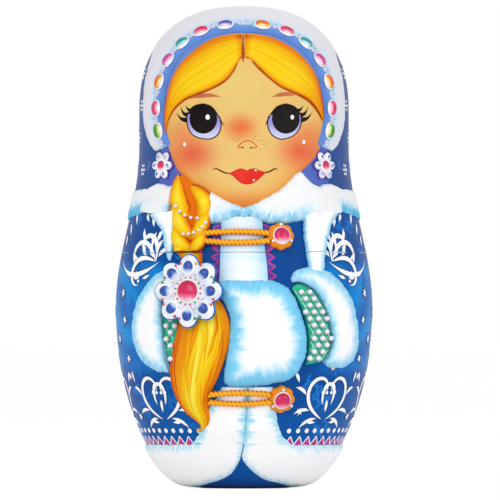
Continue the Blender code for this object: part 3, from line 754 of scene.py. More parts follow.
plainTones = {    # deep, pale, clouds, roughness, coat
    "white": ((238, 244, 250), (255, 255, 255), 120),
    "curl": ((14, 96, 182), (30, 118, 202), 120),
    "halo": ((4, 58, 128), (8, 76, 152), 120),
    "scarfCurl": ((66, 108, 176), (86, 132, 196), 120),
    "black": ((10, 4, 5), (24, 14, 14), 200, (0.24, 0.34), 0.1),
    "brown": ((88, 22, 12), (120, 38, 20), 200),
    "brow": ((186, 98, 68), (204, 122, 82), 200),
    "nose": ((200, 62, 28), (222, 90, 46), 200),
    "parting": ((150, 62, 14), (190, 96, 18), 200),
    "magenta": ((176, 44, 130), (206, 78, 166), 150),
    "violet": ((70, 58, 146), (104, 84, 178), 150),
    "lattice": ((150, 224, 194), (196, 240, 220), 150),
    "silver": ((214, 224, 238), (250, 252, 255), 200, (0.16, 0.26), 0.5),
}
stoneTones = {    # deep, pale
    "Pink": ((220, 26, 92), (246, 120, 160)),
    "Amber": ((236, 96, 26), (255, 200, 70)),
    "Teal": ((24, 146, 154), (140, 214, 212)),
    "Violet": ((86, 66, 168), (186, 184, 230)),
    "Mauve": ((200, 52, 140), (228, 156, 212)),
    "Green": ((44, 142, 22), (184, 214, 84)),
    "Blue": ((40, 84, 176), (170, 198, 238)),
}
finish = {"wood": woodFinish(), "hair": hairFinish()}
for tones, make in ((furTones, furFinish), (shadedTones, shaded), (plainTones, lacquer)):
    finish.update({word: make(word + "Finish", *values) for word, values in tones.items()})
finish.update({word: coatFinish(word + "Paint", stops) for word, stops in coatTones.items()})
finish.update({"stone" + word: stoneFinish("stone" + word, *pair) for word, pair in stoneTones.items()})

print("Turned wood")

turning = {
    "sides": 160, "innerSides": 96, "lipFit": 0.3 * mm, "lipEndGap": 0.6 * mm, "arris": 0.25 * mm,
    "seamGap": 0.08 * mm, "scarfZ": 108 * mm,
}


def domePoints(radius, height, steps):
    power = 2 / form["crownPower"]
    angles = np.linspace(pi / 2, 0, steps)
    spots = [(radius * max(cos(a), 0) ** power, height * sin(a) ** power) for a in angles]
    return [(0, height)] + spots[1:]


# How bright the coat's paint is: sleeves shine in folds below their ornament, the front and hem are deep.
def sleeveLight(azimuth, z):
    side = np.abs((azimuth + pi) % (2 * pi) - pi)
    sleeve = smooth(0.55, 0.8, side) * (1 - smooth(1.9, 2.5, side))
    sleeve = sleeve * smooth(38, 54, z) * (1 - smooth(80, 87, z))
    folds = 0.5 + 0.5 * np.sin(z * 0.46 - 7.0 * side + 2.2 * np.sin(side * 2.3 + z * 0.09))
    return 0.16 + 0.1 * smooth(46, 30, z) + sleeve * (0.34 + 0.5 * folds)


# A turned piece from a closed profile in metres; sections are (points, material slot) that run on.
def lathe(name, half, sections, sides, doll, node):
    piece = Piece(half, doll)
    profile, slots = [], []
    for points, slot in sections:
        for point in points:
            if not profile or dist(profile[-1], point) > 1e-7:
                profile.append(point)
                slots.append(slot)
    points, index, tint = [], [], []
    for r, z in profile:
        count = 1 if r < 1e-7 else sides
        angles = roundAngles(sides)[:count]
        index.append([len(points) + i % count for i in range(sides)])
        points += [(r * sin(a), -r * cos(a), z) for a in angles]
        tint += sleeveLight(angles, z / mm).tolist()
    piece.add(points, [], np.array(tint))
    for a, b, slot in zip(index, index[1:], slots[1:]):
        for i in range(sides):
            j = (i + 1) % sides
            face = [a[i], a[j], b[j], b[i]]
            piece.faces.append(tuple(v for k, v in enumerate(face) if v != face[k - 1]))
            piece.slots.append(slot)
    piece.build(name, "coat wood scarf", "painted_wood", node, sharp=35)


def outside(top, steps, footSteps):    # the profile from a height down to the foot
    heights = np.linspace(top, form["bowlStart"], steps)
    foot = form["bowlStart"] * np.linspace(0.95, 0, footSteps) ** 2
    return [(turnedRadius(z), z) for z in np.concatenate([heights, foot])]


# Both halves of one opening doll as profiles in that doll's own unscaled size.
def turnHalves(k):
    scale, base = dollScales[k], dollBases[k]
    thick = (dollBases[k + 1] - base - seatGap * mm) / scale
    lipTop = (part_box(dollNames[k] + "_lower_half")[1].z - base) / scale
    fit, arris, gap = turning["lipFit"] / scale, turning["arris"] / scale, turning["seamGap"]
    seamZ, seamRadius = form["seamZ"], turnedRadius(form["seamZ"])
    lip, socket, mouth = seamRadius - (thick + fit) / 2, seamRadius - (thick - fit) / 2, seamRadius - thick
    inside = lambda z: min(turnedRadius(z) - thick * slopeAt(z / mm)[1], mouth)
    floor = [(0, thick)] + [(inside(z), z) for z in np.linspace(thick, seamZ - (lipTop - seamZ) / 2, 24)]
    spigot = [(mouth, seamZ), (mouth, lipTop - arris), (mouth + arris, lipTop), (lip - arris, lipTop),
              (lip, lipTop - arris), (lip, seamZ)]
    side = outside(seamZ, 60, 20)
    lower = [(floor + spigot + side[:1], 1), (side[1:], 0), ([(0, 0)], 1)]
    rise = form["height"] - form["browZ"]
    crown = [(r, form["browZ"] + h) for r, h in domePoints(form["headRadius"], rise, 40)]
    shoulder = [(turnedRadius(z), z) for z in np.linspace(form["browZ"], seamZ + gap, 60)[1:]]
    above = [p for p in shoulder if p[1] > turning["scarfZ"]]
    end = lipTop + turning["lipEndGap"] / scale
    bore = [(inside(z), z) for z in np.linspace(end, form["browZ"], 24)[:-1]]
    bore = [(socket, seamZ + gap), (socket, end)] + bore
    ceiling = reversed(domePoints(form["headRadius"] - thick, rise - thick, 24))
    cap = [(r, form["browZ"] + h) for r, h in ceiling]
    return lower, [(crown + above, 2), (shoulder[len(above):], 0), (bore + cap, 1)]


for k in range(4):
    lower, upper = turnHalves(k)
    sides = turning["innerSides" if k else "sides"]
    lathe("lowerShell", "lower", lower, sides, k, dollNames[k] + "_lower_half")
    lathe("upperShell", "upper", upper, sides, k, dollNames[k] + "_upper_half")
head = domePoints(form["headRadius"], form["height"] - form["browZ"], 30)
crown = [(r, form["browZ"] + h) for r, h in head]
side = outside(form["browZ"], 90, 12)[1:]
above = [p for p in side if p[1] > turning["scarfZ"]]
lathe("turnedSolid", "lower", [(crown + above, 2), (side[len(above):], 0), ([(0, 0)], 1)], 64, 4, "doll_5")

print("Face")

face = {    # lines and outlines are (x, z) places; irises and lights are x, z, half width and half height
    "seat": 0.10, "skin": 0.12, "scarf": 0.08, "middle": (0, 134),
    "arch": [(-29.2, 134), (-29.7, 140.5), (-29, 146.1), (-27.1, 152.7), (-23.9, 158.3), (-18.7, 163.4),
             (-12.2, 167.6), (-6.1, 169.3), (-0.3, 169.8), (6.5, 169.2), (12.2, 167.6), (18.7, 163.9),
             (24.3, 158.3), (27.6, 152.7), (29.2, 145.2), (29.7, 138.6), (29.5, 134)],
    "jaw": [(29.2, 131.6), (28.3, 127.4), (26.2, 123.2), (21.3, 118.3), (17.2, 114.1), (13.5, 110.4),
            (9, 106.9), (5.2, 105.2), (1.5, 104.4), (-1.5, 104.7), (-5.2, 106.1), (-11.6, 109.4),
            (-18.7, 113.2), (-24, 118.1), (-25.9, 121.3), (-27.3, 125.1), (-28.6, 129.3)],
    "scarfEdge": [(31.5, 118), (30, 108), (15, 103), (0, 101), (-15, 103), (-30, 108), (-31.5, 118)],
    "eyes": [
        {"ring": [(-15.3, 143.6), (-18.8, 142.7), (-20.9, 140.3), (-21.5, 137.7), (-20.9, 134.3),
                  (-18.8, 131.5), (-15.4, 130.3), (-12, 130.3), (-9.4, 132), (-8.4, 134.6), (-8.4, 136.8),
                  (-9.3, 138.9), (-11.1, 141.6), (-13, 143.1)],
         "iris": (-15.1, 137.9, 5.15, 5.55), "light": (-13.5, 138.5, 0.8, 0.95),
         "tail": [(-9.4, 138.9), (-8.5, 136.9), (-7.1, 135.1)],
         "lashes": [[(-18.2, 140.6), (-20.6, 141.3), (-21.8, 143.0)],
                    [(-19.6, 139.0), (-22.4, 139.9), (-23.6, 142.5)],
                    [(-20.2, 137.3), (-23.3, 137.9), (-25.2, 140.2)]]},
        {"ring": [(15.7, 143.6), (19.1, 142.4), (21.1, 139.9), (21.6, 137.7), (21.1, 134.7), (19.2, 132),
                  (16.2, 130.5), (13, 130.2), (10.1, 132), (8.8, 134.7), (8.6, 137), (9.4, 139),
                  (11.2, 141.5), (13.1, 143)],
         "iris": (15.6, 137.9, 5.15, 5.55), "light": (18.0, 138.5, 0.65, 0.85),
         "tail": [(9.3, 138.9), (8.7, 137.0), (7.8, 135.4)],
         "lashes": [[(18.4, 140.6), (20.9, 141.3), (22.2, 143.0)],
                    [(19.8, 139.0), (22.5, 139.8), (23.9, 142.3)],
                    [(20.4, 137.3), (23.5, 138.1), (25.4, 140.4)]]},
    ],
    "brows": [[(-20.8, 145.3), (-17.6, 146.3), (-13.5, 146.6), (-10.5, 146.4), (-8.2, 145.8)],
              [(10.3, 145.9), (13.1, 146.8), (16.5, 147.1), (19.5, 147.1), (21.5, 146.8)]],
    "nose": [(-0.7, 127.1), (-2.2, 127.2), (-1.5, 128.3), (-0.2, 129.3), (1.3, 129.7), (2.8, 129.4),
             (4.1, 128.3), (4.8, 127.6), (3.9, 127), (2.4, 127)],
    "nostrils": [(-0.6, 127.2), (2.7, 127.1)],
    "freckles": [(4.2, 131.5), (3.6, 130.2), (5.2, 129.8), (6.4, 129.8), (8.5, 129.3), (8.5, 127.6),
                 (7.4, 128.4), (6, 126.6), (-3.4, 129.8), (-2.1, 130.2), (-4.4, 130.5)],
    "lips": [(-5.6, 117.5), (-4.1, 118.3), (-1.5, 119.4), (0.4, 119), (1.1, 118.6), (2.2, 119.2),
             (4.1, 119.4), (5.8, 118.7), (8, 117.9), (6.8, 116.6), (5.2, 115.1), (3.4, 113.9), (1.4, 113.4),
             (-0.8, 113.8), (-2.7, 115.2), (-4.1, 116.6)],
    # x, z, half width, half height, lean and lift of each.
    "lipLights": [(4.3, 118.7, 0.5, 0.28, -0.3, 0.1), (3.7, 115.1, 0.42, 0.28, 0.5, 0.2)],
    "smile": [[(-11.8, 118.5), (-10.7, 119.4), (-9.0, 118.7), (-7.1, 117.8), (-4.9, 117.5)],
              [(12.5, 118.4), (11.8, 119.4), (10.4, 118.7), (8.8, 118.0), (7.2, 117.9)]],
    "lightDots": [(-22.1, 128.4, 0.55, 0.75), (22.3, 129.3, 0.55, 0.75)],
}
skinSeat = face["seat"] + face["scarf"]
faceSeat = skinSeat + face["skin"]


def paintSkin(k):
    outline = closedCurve(face["arch"] + face["jaw"], 150)
    edges = EdgeField([np.vstack([outline[::3], outline[:1]])])

    # Painted shade: the skin runs warmer and darker towards the face's edge, less so on the forehead.
    def warmth(azimuth, z, share):
        return np.clip(1 - edges(azimuth, z)[0] / 9, 0, 1) ** 1.5 * (1 - 0.6 * smooth(118, 135, z))

    piece = Piece("upper", k)
    polar(piece, outline, skinSeat, face["skin"], 24, middle=face["middle"], tint=warmth)
    finish["skin"] = skinFinish(k)
    piece.build("face", "skin", "painted_wood")


def paintEyes(k):
    eyes = Piece("upper", k)
    for eye in face["eyes"]:
        ring = closedCurve(eye["ring"], 56)
        middle = ring.mean(0)
        irisZ = eye["iris"][1]
        polar(eyes, ring, faceSeat, 0.05)
        shade = lambda azimuth, z, share: 0.9 * smooth(130.8, 137.5, z)
        polar(eyes, middle + (ring - middle) * 0.935, faceSeat + 0.05, 0.04, tint=shade, slot=1)
        polar(eyes, oval(*eye["iris"]), faceSeat + 0.09, 0.04)
        lid = np.vstack([ring[ring[:, 1] > irisZ + 1.2], [[middle[0], irisZ]]])
        polar(eyes, lid, faceSeat + 0.1, 0.03, 3, middle=(middle[0], irisZ + 2))
        polar(eyes, oval(*eye["light"]), faceSeat + 0.14, 0.04, 3, slot=2)
        stroke(eyes, eye["tail"], 0.6, faceSeat + 0.02, 0.06, taper=(0, 0.8))
        for lash in eye["lashes"]:
            stroke(eyes, lash, [2.5, 1.6, 0.45], faceSeat + 0.02, 0.06, taper=(0, 0.9))
    eyes.build("eyes", "black eyeWhite white", "painted_wood")


def paintFeatures(k):
    lines = Piece("upper", k)
    for brow in face["brows"]:
        stroke(lines, brow, [0.8, 1.55, 1.5, 0.7], faceSeat, 0.05, taper=(0.25, 0.35), slot=0)
    stroke(lines, face["nose"], 0.38, faceSeat, 0.05, steps=60, taper=(0.1, 0.1), slot=1)
    for x, z in face["nostrils"]:
        polar(lines, oval(x, z, 0.55, 0.26), faceSeat, 0.05, 3, slot=2)
    for x, z in face["freckles"] if k < 2 else []:
        polar(lines, disc(x, z, 0.18, 12), faceSeat, 0.03, 2, slot=2)
    for corner in face["smile"]:
        stroke(lines, corner, [0.4, 0.6, 0.55], faceSeat, 0.05, taper=(0.2, 0.2), slot=2)
    shade = lambda azimuth, z, share: np.clip(0.1 + 0.5 * share**6, 0, 1)
    pout = lambda azimuth, z, share: 0.05 + 0.25 * (1 - share**2)
    polar(lines, closedCurve(face["lips"], 90), faceSeat, pout, 10, middle=(1.1, 116.6), tint=shade, slot=3)
    for *spot, up in face["lipLights"]:
        polar(lines, oval(*spot), faceSeat + up, 0.05, 3, slot=4)
    for spot in face["lightDots"]:
        polar(lines, oval(*spot), faceSeat, 0.04, 3, slot=4)
    lines.build("faceLines", "brow nose brown lips white", "painted_wood")


# The blue edging that shows between the headdress and the face, down to the collar.
def innerScarf(k):
    azimuth, z = headPoint(np.radians(np.linspace(-112, 112, 90)), 0.86)
    edge = np.stack([radiusAt(z) * np.sin(azimuth), z], 1)
    outline = evenly(np.vstack([edge, dense(face["scarfEdge"], 1.2), edge[:1]]), 170)[:-1]
    piece = Piece("upper", k)
    shade = lambda azimuth, z, share: 0.25 + 0.45 * smooth(130, 150, z)
    polar(piece, outline, face["seat"], face["scarf"], piece.pick(10, 20), middle=face["middle"], tint=shade)
    piece.build("innerScarf", "innerScarf", "painted_wood")


print("Hair and headdress")

hairForm = {
    "leftLine": [(-0.9, 160.6), (-2.3, 159), (-5.1, 154.6), (-8, 151.7), (-13.1, 149), (-18.7, 146.9),
                 (-22.5, 145), (-26.2, 141.4), (-28.1, 137.7), (-29.3, 132.3)],
    "rightLine": [(0.5, 160.6), (2.8, 159.8), (5.6, 157.2), (9.4, 153.6), (14, 150.1), (19.6, 147.6),
                  (24.3, 145), (27.4, 141.4), (29.3, 137.5)],
    "leftArch": [(-0.9, 169.6), (-6.1, 169.3), (-12.2, 167.6), (-18.7, 163.4), (-23.9, 158.3),
                 (-27.1, 152.7), (-29, 146.1), (-29.8, 140.5), (-29.7, 136), (-29.6, 132)],
    "rightArch": [(0.3, 169.6), (6.5, 169.2), (12.2, 167.6), (18.7, 163.9), (24.3, 158.3), (27.6, 152.7),
                  (29.2, 146), (29.9, 141), (29.9, 138.6), (29.8, 137)],
    "parting": [(-0.3, 169.8), (-0.4, 165), (-0.3, 160.6), (-0.2, 158.6)],
    "rise": 1.1,
}


# A wing of combed hair from the parting to the temple, with its strands swept along it.
def hairWing(k, word):
    line, arch = hairForm[word + "Line"], hairForm[word + "Arch"]
    azimuth, z, u, v = between(dense(line), dense(arch), 90, 44)
    groove = wobble(v * 22 + u * 1.5, 5) * 0.6 + wobble(v * 55 + u * 2, 6) * 0.4
    crown = np.clip(np.sin(pi * v), 0, 1) ** 0.42 * np.clip(np.sin(pi * (0.02 + 0.97 * u)), 0, 1) ** 0.35
    lift = 0.12 + hairForm["rise"] * crown * (0.86 + 0.14 * groove)
    # Painted shade: deeper orange along both edges of the wing and towards its ends.
    rims = 0.4 * smooth(0.6, 1.0, v) + 0.42 * (1 - smooth(0.0, 0.13, v))
    ends = 0.4 * smooth(0.5, 1, u) + 0.3 * (1 - smooth(0, 0.06, u))
    piece = Piece("upper", k)
    sheet(piece, azimuth, z, lift, faceSeat, np.clip(0.3 + rims + ends, 0, 1.05), v * 26 * (1 - 0.3 * u))
    piece.build(word + "HairWing", "hair", "golden_hair_paste", word + "_hair_wing")


# The red-brown lines of the parting and under the hairline.
def hairShadows(k):
    piece = Piece("upper", k)
    stroke(piece, hairForm["parting"], [0.5, 0.6, 1.3, 0.5], faceSeat, 0.3, taper=(0.1, 0.2))
    left = [(x, z - 0.3) for x, z in hairForm["leftLine"][1:-1]]
    stroke(piece, left, [1.3, 0.9, 0.8, 1.0, 0.9], faceSeat, 0.1, steps=50, taper=(0.1, 0.4))
    right = [(x, z - 0.35) for x, z in hairForm["rightLine"][1:]]
    stroke(piece, right, [1.4, 0.9, 0.9, 1.3, 1.6], faceSeat, 0.1, steps=50, taper=(0.1, 0.2))
    piece.build("hairShadows", "parting", "painted_wood")


headdress = {
    "endAngle": 112, "stoneShare": 0.802, "innerShare": 0.75, "rise": 1.3,
    # The band's rear edge, as degrees from the crown and share.
    "outer": [(0, 1.03), (16, 1.029), (34, 1.02), (48, 1.002), (62, 0.978), (80, 0.957), (96, 0.948),
              (105, 0.93), (112, 0.9)],
    "angles": [9, 25, 41, 57, 73, 88, 102], "endBead": 109.5,    # degrees from the crown
    "stone": (2.75, 2.0, 1.5), "bead": (1.05, 0.75, 0.6),    # half width, half height and rise
    "left": ("Violet", "Pink", "Teal", "Mauve", "Amber", "Pink", "Green"),
    "right": ("Amber", "Pink", "Teal", "Mauve", "Amber", "Pink", "Green"),
}


# The fur band of the headdress: lilac-white, with painted blue shade behind the stones, and a blue edging
# along the hair.
def headBand(k):
    end = radians(headdress["endAngle"])
    inner, stones = headdress["innerShare"], headdress["stoneShare"]
    band, edging = Piece("upper", k), Piece("upper", k)
    angle = np.linspace(-end, end, band.pick(260, 160))[:, None]
    along = angle * 39
    fade = np.minimum(1, (end - np.abs(angle)) * 14)
    fray = (wobble(along * 1.1, 21) - 0.5) * 0.010 + (wobble(along * 3.1, 22) - 0.5) * 0.006
    # Even steps round the head's outline.
    root = lambda share: np.sign(1 - share) * np.sqrt(np.abs(1 - share))
    rear = curveThrough([(turn, root(share)) for turn, share in headdress["outer"]], 90)
    outer = np.interp(np.degrees(np.abs(angle)), rear[:, 0], rear[:, 1]) + 1.4 * fray

    def lay(piece, first, last, columns, extra, tint):
        roots = first + (last - first) * np.linspace(0, 1, columns)
        share = 1 - np.sign(roots) * roots**2
        azimuth, z = headPoint(np.broadcast_to(angle, share.shape), share)
        crest = smooth(0, 0.04, share - inner) * (1 - 0.93 * smooth(0.885, 0.975, share))
        ripple = 0.1 * (wobble(along * 2.2, 23) - 0.5) * crest
        lift = 0.1 + headdress["rise"] * crest * fade**0.5 + ripple + extra
        grain = np.broadcast_to(along, share.shape)
        sheet(piece, azimuth, z, lift, face["seat"], tint(share), grain, front=False)

    reach = 0.1 + 0.05 * (wobble(along * 0.5, 24) - 0.3)
    # Painted blue shade in the fur from its inner edge to just past the stones, fading towards its rear edge.
    frost = lambda share: 0.66 * (1 - smooth(0.01, reach, share - stones))
    lay(band, root(inner), outer, band.pick(34, 24), 0, frost)
    band.build("headdressBand", "bandFur", "headdress_paste", "headdress_band")
    rim = root(stones - 0.006 + 2.5 * fray)
    lay(edging, root(inner), rim, 14, 0.13, lambda share: 0.3 + 8 * (share - inner))
    edging.build("headdressEdging", "edging", "painted_wood")


def headSpot(degrees, side=1):
    angle = side * radians(degrees)
    return angle, *map(float, headPoint(angle, headdress["stoneShare"]))


# Painted shade: a painted stone is pale in its middle and deepens towards its edge.
def crescent(pale):    # how a painted stone deepens towards its edge
    return lambda azimuth, z, share: pale + 0.3 * share**2


# Fourteen stones in white settings with beads between them; on the inner dolls they are painted.
def headStones(k):
    wide, high, rise = headdress["stone"]
    seat = face["seat"] + headdress["rise"] + 0.15
    rims, beads, painted = (Piece("upper", k) for _ in range(3))
    tones = ["Violet", "Amber", "Pink", "Teal", "Mauve", "Green"]
    angles = headdress["angles"]
    for side, word in ((-1, "left"), (1, "right")):
        for number, (degrees, tone) in enumerate(zip(angles, headdress[word]), start=1):
            angle, azimuth, z = headSpot(degrees, side)
            if k:
                x = float(radiusAt(z)) * sin(azimuth)
                polar(painted, oval(x, z, wide + 0.45, high + 0.45, -angle), seat, 0.05, 3, slot=6)
                stone = oval(x, z, wide, high, -angle)
                polar(painted, stone, seat + 0.1, 0.05, 3, tint=crescent(0.2), slot=tones.index(tone))
                continue
            place = frameOn(azimuth, z, seat, -angle)
            cabochon(rims, place, wide + 0.4, high + 0.4, 0.5, fullness=0.35)
            stone = Piece("upper")
            cabochon(stone, moved(place, z=0.25), wide, high, rise, fullness=0.8)
            slotName = "stone_" + {"Mauve": "pink"}.get(tone, tone.lower())
            node = f"headdress_stone_{word}_{number}"
            stone.build(f"headdressStone{word.title()}{number}", "stone" + tone, slotName, node)
    middles = [0] + [s * (a + b) / 2 for a, b in zip(angles, angles[1:]) for s in (-1, 1)]
    for degrees in [] if k else middles + [headdress["endBead"], -headdress["endBead"]]:
        angle, azimuth, z = headSpot(degrees)
        place = frameOn(azimuth, z, seat, -angle)
        cabochon(beads, place, *headdress["bead"], sides=16, rings=5)
        top = moved(place, z=headdress["bead"][2] * 0.9)
        cabochon(beads, top, 0.34, 0.26, 0.16, sides=10, rings=3, slot=1)
    rims.build("stoneRims", "white", "silver_white_mount")
    beads.build("headdressBeads", "pearl stonePink", "silver_white_mount")
    painted.build("paintedStones", " ".join("stone" + tone for tone in tones) + " white", "painted_wood")


print("Fur")

furSeat = 0.2


# Painted blue shade, solid at the edge of fur, then white locks of uneven length.
def furShadeTint(depth, along, reach, seed, ragged=1.0):
    locks = 1.7 * ragged * (wobble(along * 1.0, seed) + wobble(along * 2.6, seed + 1) - 1)
    return np.clip(1.4 * (1 - (depth + locks * smooth(0.2, 1.4, depth) * min(1, reach / 4)) / reach), 0, 1)


def furLift(depth, along, rise, roundDepth, seed):
    near = 1 - np.clip(depth / roundDepth, 0, 1)
    locks = wobble(along * 0.9, seed) * 0.6 + wobble(along * 2.4 + depth * 0.15, seed + 1) * 0.4 - 0.5
    locks *= 0.22 * smooth(0, 1.2, depth) * (1 - smooth(6, 12, depth))
    return 0.12 + rise * np.sqrt(1 - near**2) + locks


# A piece of fur between two edges that both run from its low end to its high end.
def furStrip(piece, name, left, right, rise, nodes=(), across=18, roundDepth=2.6, reach=4.0, blue=1.0,
             closed=True, seed=3):
    a, b = frayed(left, 0.3, seed + 10), frayed(right, 0.3, seed + 30)
    lines = [a, b] + ([np.array([a[0], b[0]]), np.array([a[-1], b[-1]])] if closed else [])
    steps = max(8, int(max(len(a), len(b)) * piece.pick(0.7, 0.3)))
    azimuth, z, u, v = between(a, b, steps, piece.pick(across, across // 2))
    depth, along = EdgeField(lines)(azimuth, z)
    lift = furLift(depth, along, rise, roundDepth, seed)
    # Its tint is painted blue shade along its edges, scaled by blue.
    sheet(piece, azimuth, z, lift, furSeat, blue * furShadeTint(depth, along, reach, seed + 5, 0.4), along)
    piece.build(name, "fur", "white_fur_paste", *nodes)


collarForm = {    # (degrees from the front, height) of its edges
    "top": [(0, 104.8), (7, 106.6), (12, 108.6), (18.6, 111.2), (24.3, 114.5), (29, 117.6), (31.5, 118.4),
            (33.5, 116.8), (36, 115), (39, 113.4), (43, 112.6), (48, 113.6), (52, 113.8), (56, 113),
            (62, 111.8), (78, 111.2), (180, 111)],
    "low": [(0, 100.4), (2.6, 101.6), (5, 100.6), (12, 98.9), (20, 98.6), (27, 99.6), (34, 100.6),
            (42, 101.6), (50, 102.2), (60, 103.2), (70, 102), (85, 100.6), (100, 100), (180, 100)],
    "rise": 2.3, "sideRise": 0.5, "plait": (-17.0, -40.0),
    "joins": [(33, 57), (297, 318)], "joinRise": 2.05,    # where the shoulder furs run into it, in degrees
}


# The fur collar, which dips under the chin and runs round the back; the plait hides where it ends.
def collar(k):
    f = collarForm
    piece = Piece("upper", k)
    start, stop = f["plait"]
    degrees = np.linspace(start, 360 + stop, piece.pick(620, 260))
    away = np.abs((degrees + 180) % 360 - 180)
    azimuth = np.radians(degrees)
    low = np.interp(away, *zip(*f["low"])) - 0.5 * tufts(azimuth * 42, 0.8, 2.3, 41)
    top = np.interp(away, *zip(*f["top"])) + 0.5 * tufts(azimuth * 42, 0.8, 2.3, 43)
    lines = [np.stack([azimuth, z], 1) for z in (low, top)]
    v = np.linspace(0, 1, piece.pick(26, 12))
    low, top = low[:, None], top[:, None]
    z = low * (1 - v) + top * v
    grid = np.broadcast_to(azimuth[:, None], z.shape)
    depth, along = EdgeField(lines, lambda a, h: (a, h))(grid, z)
    rise = f["sideRise"] + (f["rise"] - f["sideRise"]) * (1 - smooth(38, 66, away)[:, None])
    side = smooth(26, 44, away)[:, None]
    joined = sum(smooth(a - 4, a + 4, degrees) * (1 - smooth(b - 4, b + 4, degrees)) for a, b in f["joins"])
    joined = joined[:, None] * (1 - smooth(0.2, 0.95, v))
    lift = np.maximum(furLift(depth, along, rise, 3.4, 45), f["joinRise"] * joined)
    # Painted blue shade along its low edge, weaker in front, a little along its top edge, and hardly any
    # where the shoulder furs run into it.
    tint = 0.95 * furShadeTint(z - low, along, 6.6, 47) * (0.75 + 0.25 * side)
    tint += 0.3 * np.clip(1 - (top - z) / 2.0, 0, 1)
    sheet(piece, grid, z, lift, furSeat, tint * (1 - 0.8 * joined), along, front=False)
    piece.build("furCollar", "collarFur", "white_fur_paste", "fur_collar")


shoulderBands = {
    "left": ([(-28.2, 85.3), (-28.8, 87.0), (-29.7, 90.6), (-30.6, 95.6), (-32.6, 99.2), (-35.4, 102.2)],
             [(-27.2, 85.3), (-26.8, 87.0), (-26.0, 90.6), (-25.8, 96.0), (-25.6, 100.6), (-25.0, 104.0)]),
    "right": ([(24.3, 80.5), (24.0, 84.4), (23.2, 88.2), (22.5, 94), (22.3, 99.0), (22.0, 103.5)],
              [(29.9, 80.5), (30.1, 84.6), (30.5, 88.6), (31.4, 93.8), (32.8, 98.8), (35.6, 103.0)]),
    "shape": dict(roundDepth=2.0, reach=2.8, closed=False, seed=50, blue=0.72),
    "rise": 1.9, "endRise": 0.5,
}


# Bands of fur from the collar down both sides of the chest; the right one runs on below the seam.
def shoulderFurs(k):
    f = shoulderBands
    for word in ("left", "right"):
        node = [word + "_shoulder_fur"]
        furStrip(Piece("upper", k), word + "ShoulderFur", *f[word], f["rise"], node, **f["shape"])
        node = ["right_lower_shoulder_fur"] if word == "right" else []
        rise = f["rise" if node else "endRise"]
        furStrip(Piece("lower", k), word + "LowerShoulderFur", *f[word], rise, node, **f["shape"])


muffForm = {
    "outline": [(1.5, 78), (8, 77.9), (12.4, 77.2), (15.7, 75.4), (18.3, 72.2), (20.6, 67.4), (22.5, 61.4),
                (23.4, 56), (23.2, 51.6), (22.2, 47.6), (20.2, 43.8), (17.2, 41.2), (12.6, 39.7), (7, 38.7),
                (1.3, 38.1), (-4.2, 38), (-7.4, 39.6), (-7.2, 44.4), (-6.2, 50.7), (-5.4, 57.3), (-5.1, 63),
                (-6.6, 68), (-9, 72), (-10.6, 75.6), (-8.6, 77.6), (-3.7, 78)],
    "middle": (8.5, 58.5), "rise": 4.4,
}


# The round fur muff, white in the middle and in painted blue shade towards its rim, with long white locks.
def muff(k):
    f = muffForm
    piece = Piece("lower", k)
    outline = closedCurve(f["outline"], piece.pick(420, 150))
    fray = 1 + 0.04 * tufts(np.arange(len(outline)) * 132 / len(outline), 0.7, 2.2, 61)
    outline = f["middle"] + (outline - f["middle"]) * fray[:, None]
    edges = EdgeField([np.vstack([outline, outline[:1]])])

    def lift(azimuth, z, share):
        depth, along = edges(azimuth, z)
        near = 1 - np.clip(depth / 9.0, 0, 1)
        locks = 0.3 * tufts(along, 0.7, 2.0, 63) * smooth(0, 2, depth) * (1 - smooth(6, 13, depth))
        return 0.15 + f["rise"] * (1 - near**2.4) ** 0.6 + locks

    tint = lambda azimuth, z, share: furShadeTint(*edges(azimuth, z), 8.2, 65)
    grain = lambda azimuth, z, share: edges(azimuth, z)[1]
    polar(piece, outline, furSeat, lift, piece.pick(30, 14), middle=f["middle"], tint=tint, grain=grain)
    piece.build("furMuff", "fur", "white_fur_paste", "muff")


cuffForm = {
    "right": ([(29.9, 47), (31.8, 50.7), (32.9, 55), (32.2, 60.6), (30.2, 67.6), (27.7, 72.4), (24.7, 75.5),
               (21, 77.2), (17.9, 77)],
              [(31.4, 45.4), (35.6, 45.1), (39.4, 46.6), (41.9, 50.4), (42.8, 55.6), (42.2, 63),
               (40.2, 70.6), (36.4, 76.6), (32.2, 80.6), (27.4, 82.5), (22, 82.4), (18.6, 80.8),
               (17.4, 78.6)]),
    "left": ([(-28.6, 43.4), (-33.2, 44.3), (-37.6, 47.2), (-40.4, 52), (-41.8, 58.5), (-41.2, 65.4),
              (-39.2, 71.4), (-36.2, 76.2), (-33, 79.8), (-29.4, 81.5), (-25.6, 81)],
             [(-27.6, 43.6), (-28.9, 47.6), (-29.7, 53.5), (-30.3, 60.6), (-30.4, 67), (-29, 73),
              (-26.4, 77.4), (-24.4, 80)]),
    "rightLining": ([(29.4, 47.6), (31.4, 50.8), (32.6, 55), (31.9, 60.6), (29.9, 67.6), (27.2, 72.2),
                     (23.8, 75.4), (20.4, 76.6), (18.4, 75.6)],
                    [(23, 46.4), (23.9, 50.5), (24.2, 55), (23.6, 60.4), (21.8, 66.6), (19.8, 71.2),
                     (18, 74.4)]),
    "leftLining": ([(-27.9, 47.4), (-29.2, 53), (-30.2, 60), (-30.2, 66.5)],
                   [(-26.6, 47.4), (-26.1, 53), (-25.0, 58.4), (-24.0, 65.0)]),
    "seeds": {"right": 70, "left": 80}, "rise": 3.2,
    "shape": dict(across=24, roundDepth=4.4, reach=5.8, blue=0.78),
    "pearlPitch": 3.15, "pearlRadius": 1.05, "latticeSteepness": 1.56,
}


def cuffs(k):
    f = cuffForm
    for word, seed in f["seeds"].items():
        piece = Piece("lower", k)
        furStrip(piece, word + "Cuff", *f[word], f["rise"], [word + "_cuff"], seed=seed, **f["shape"])


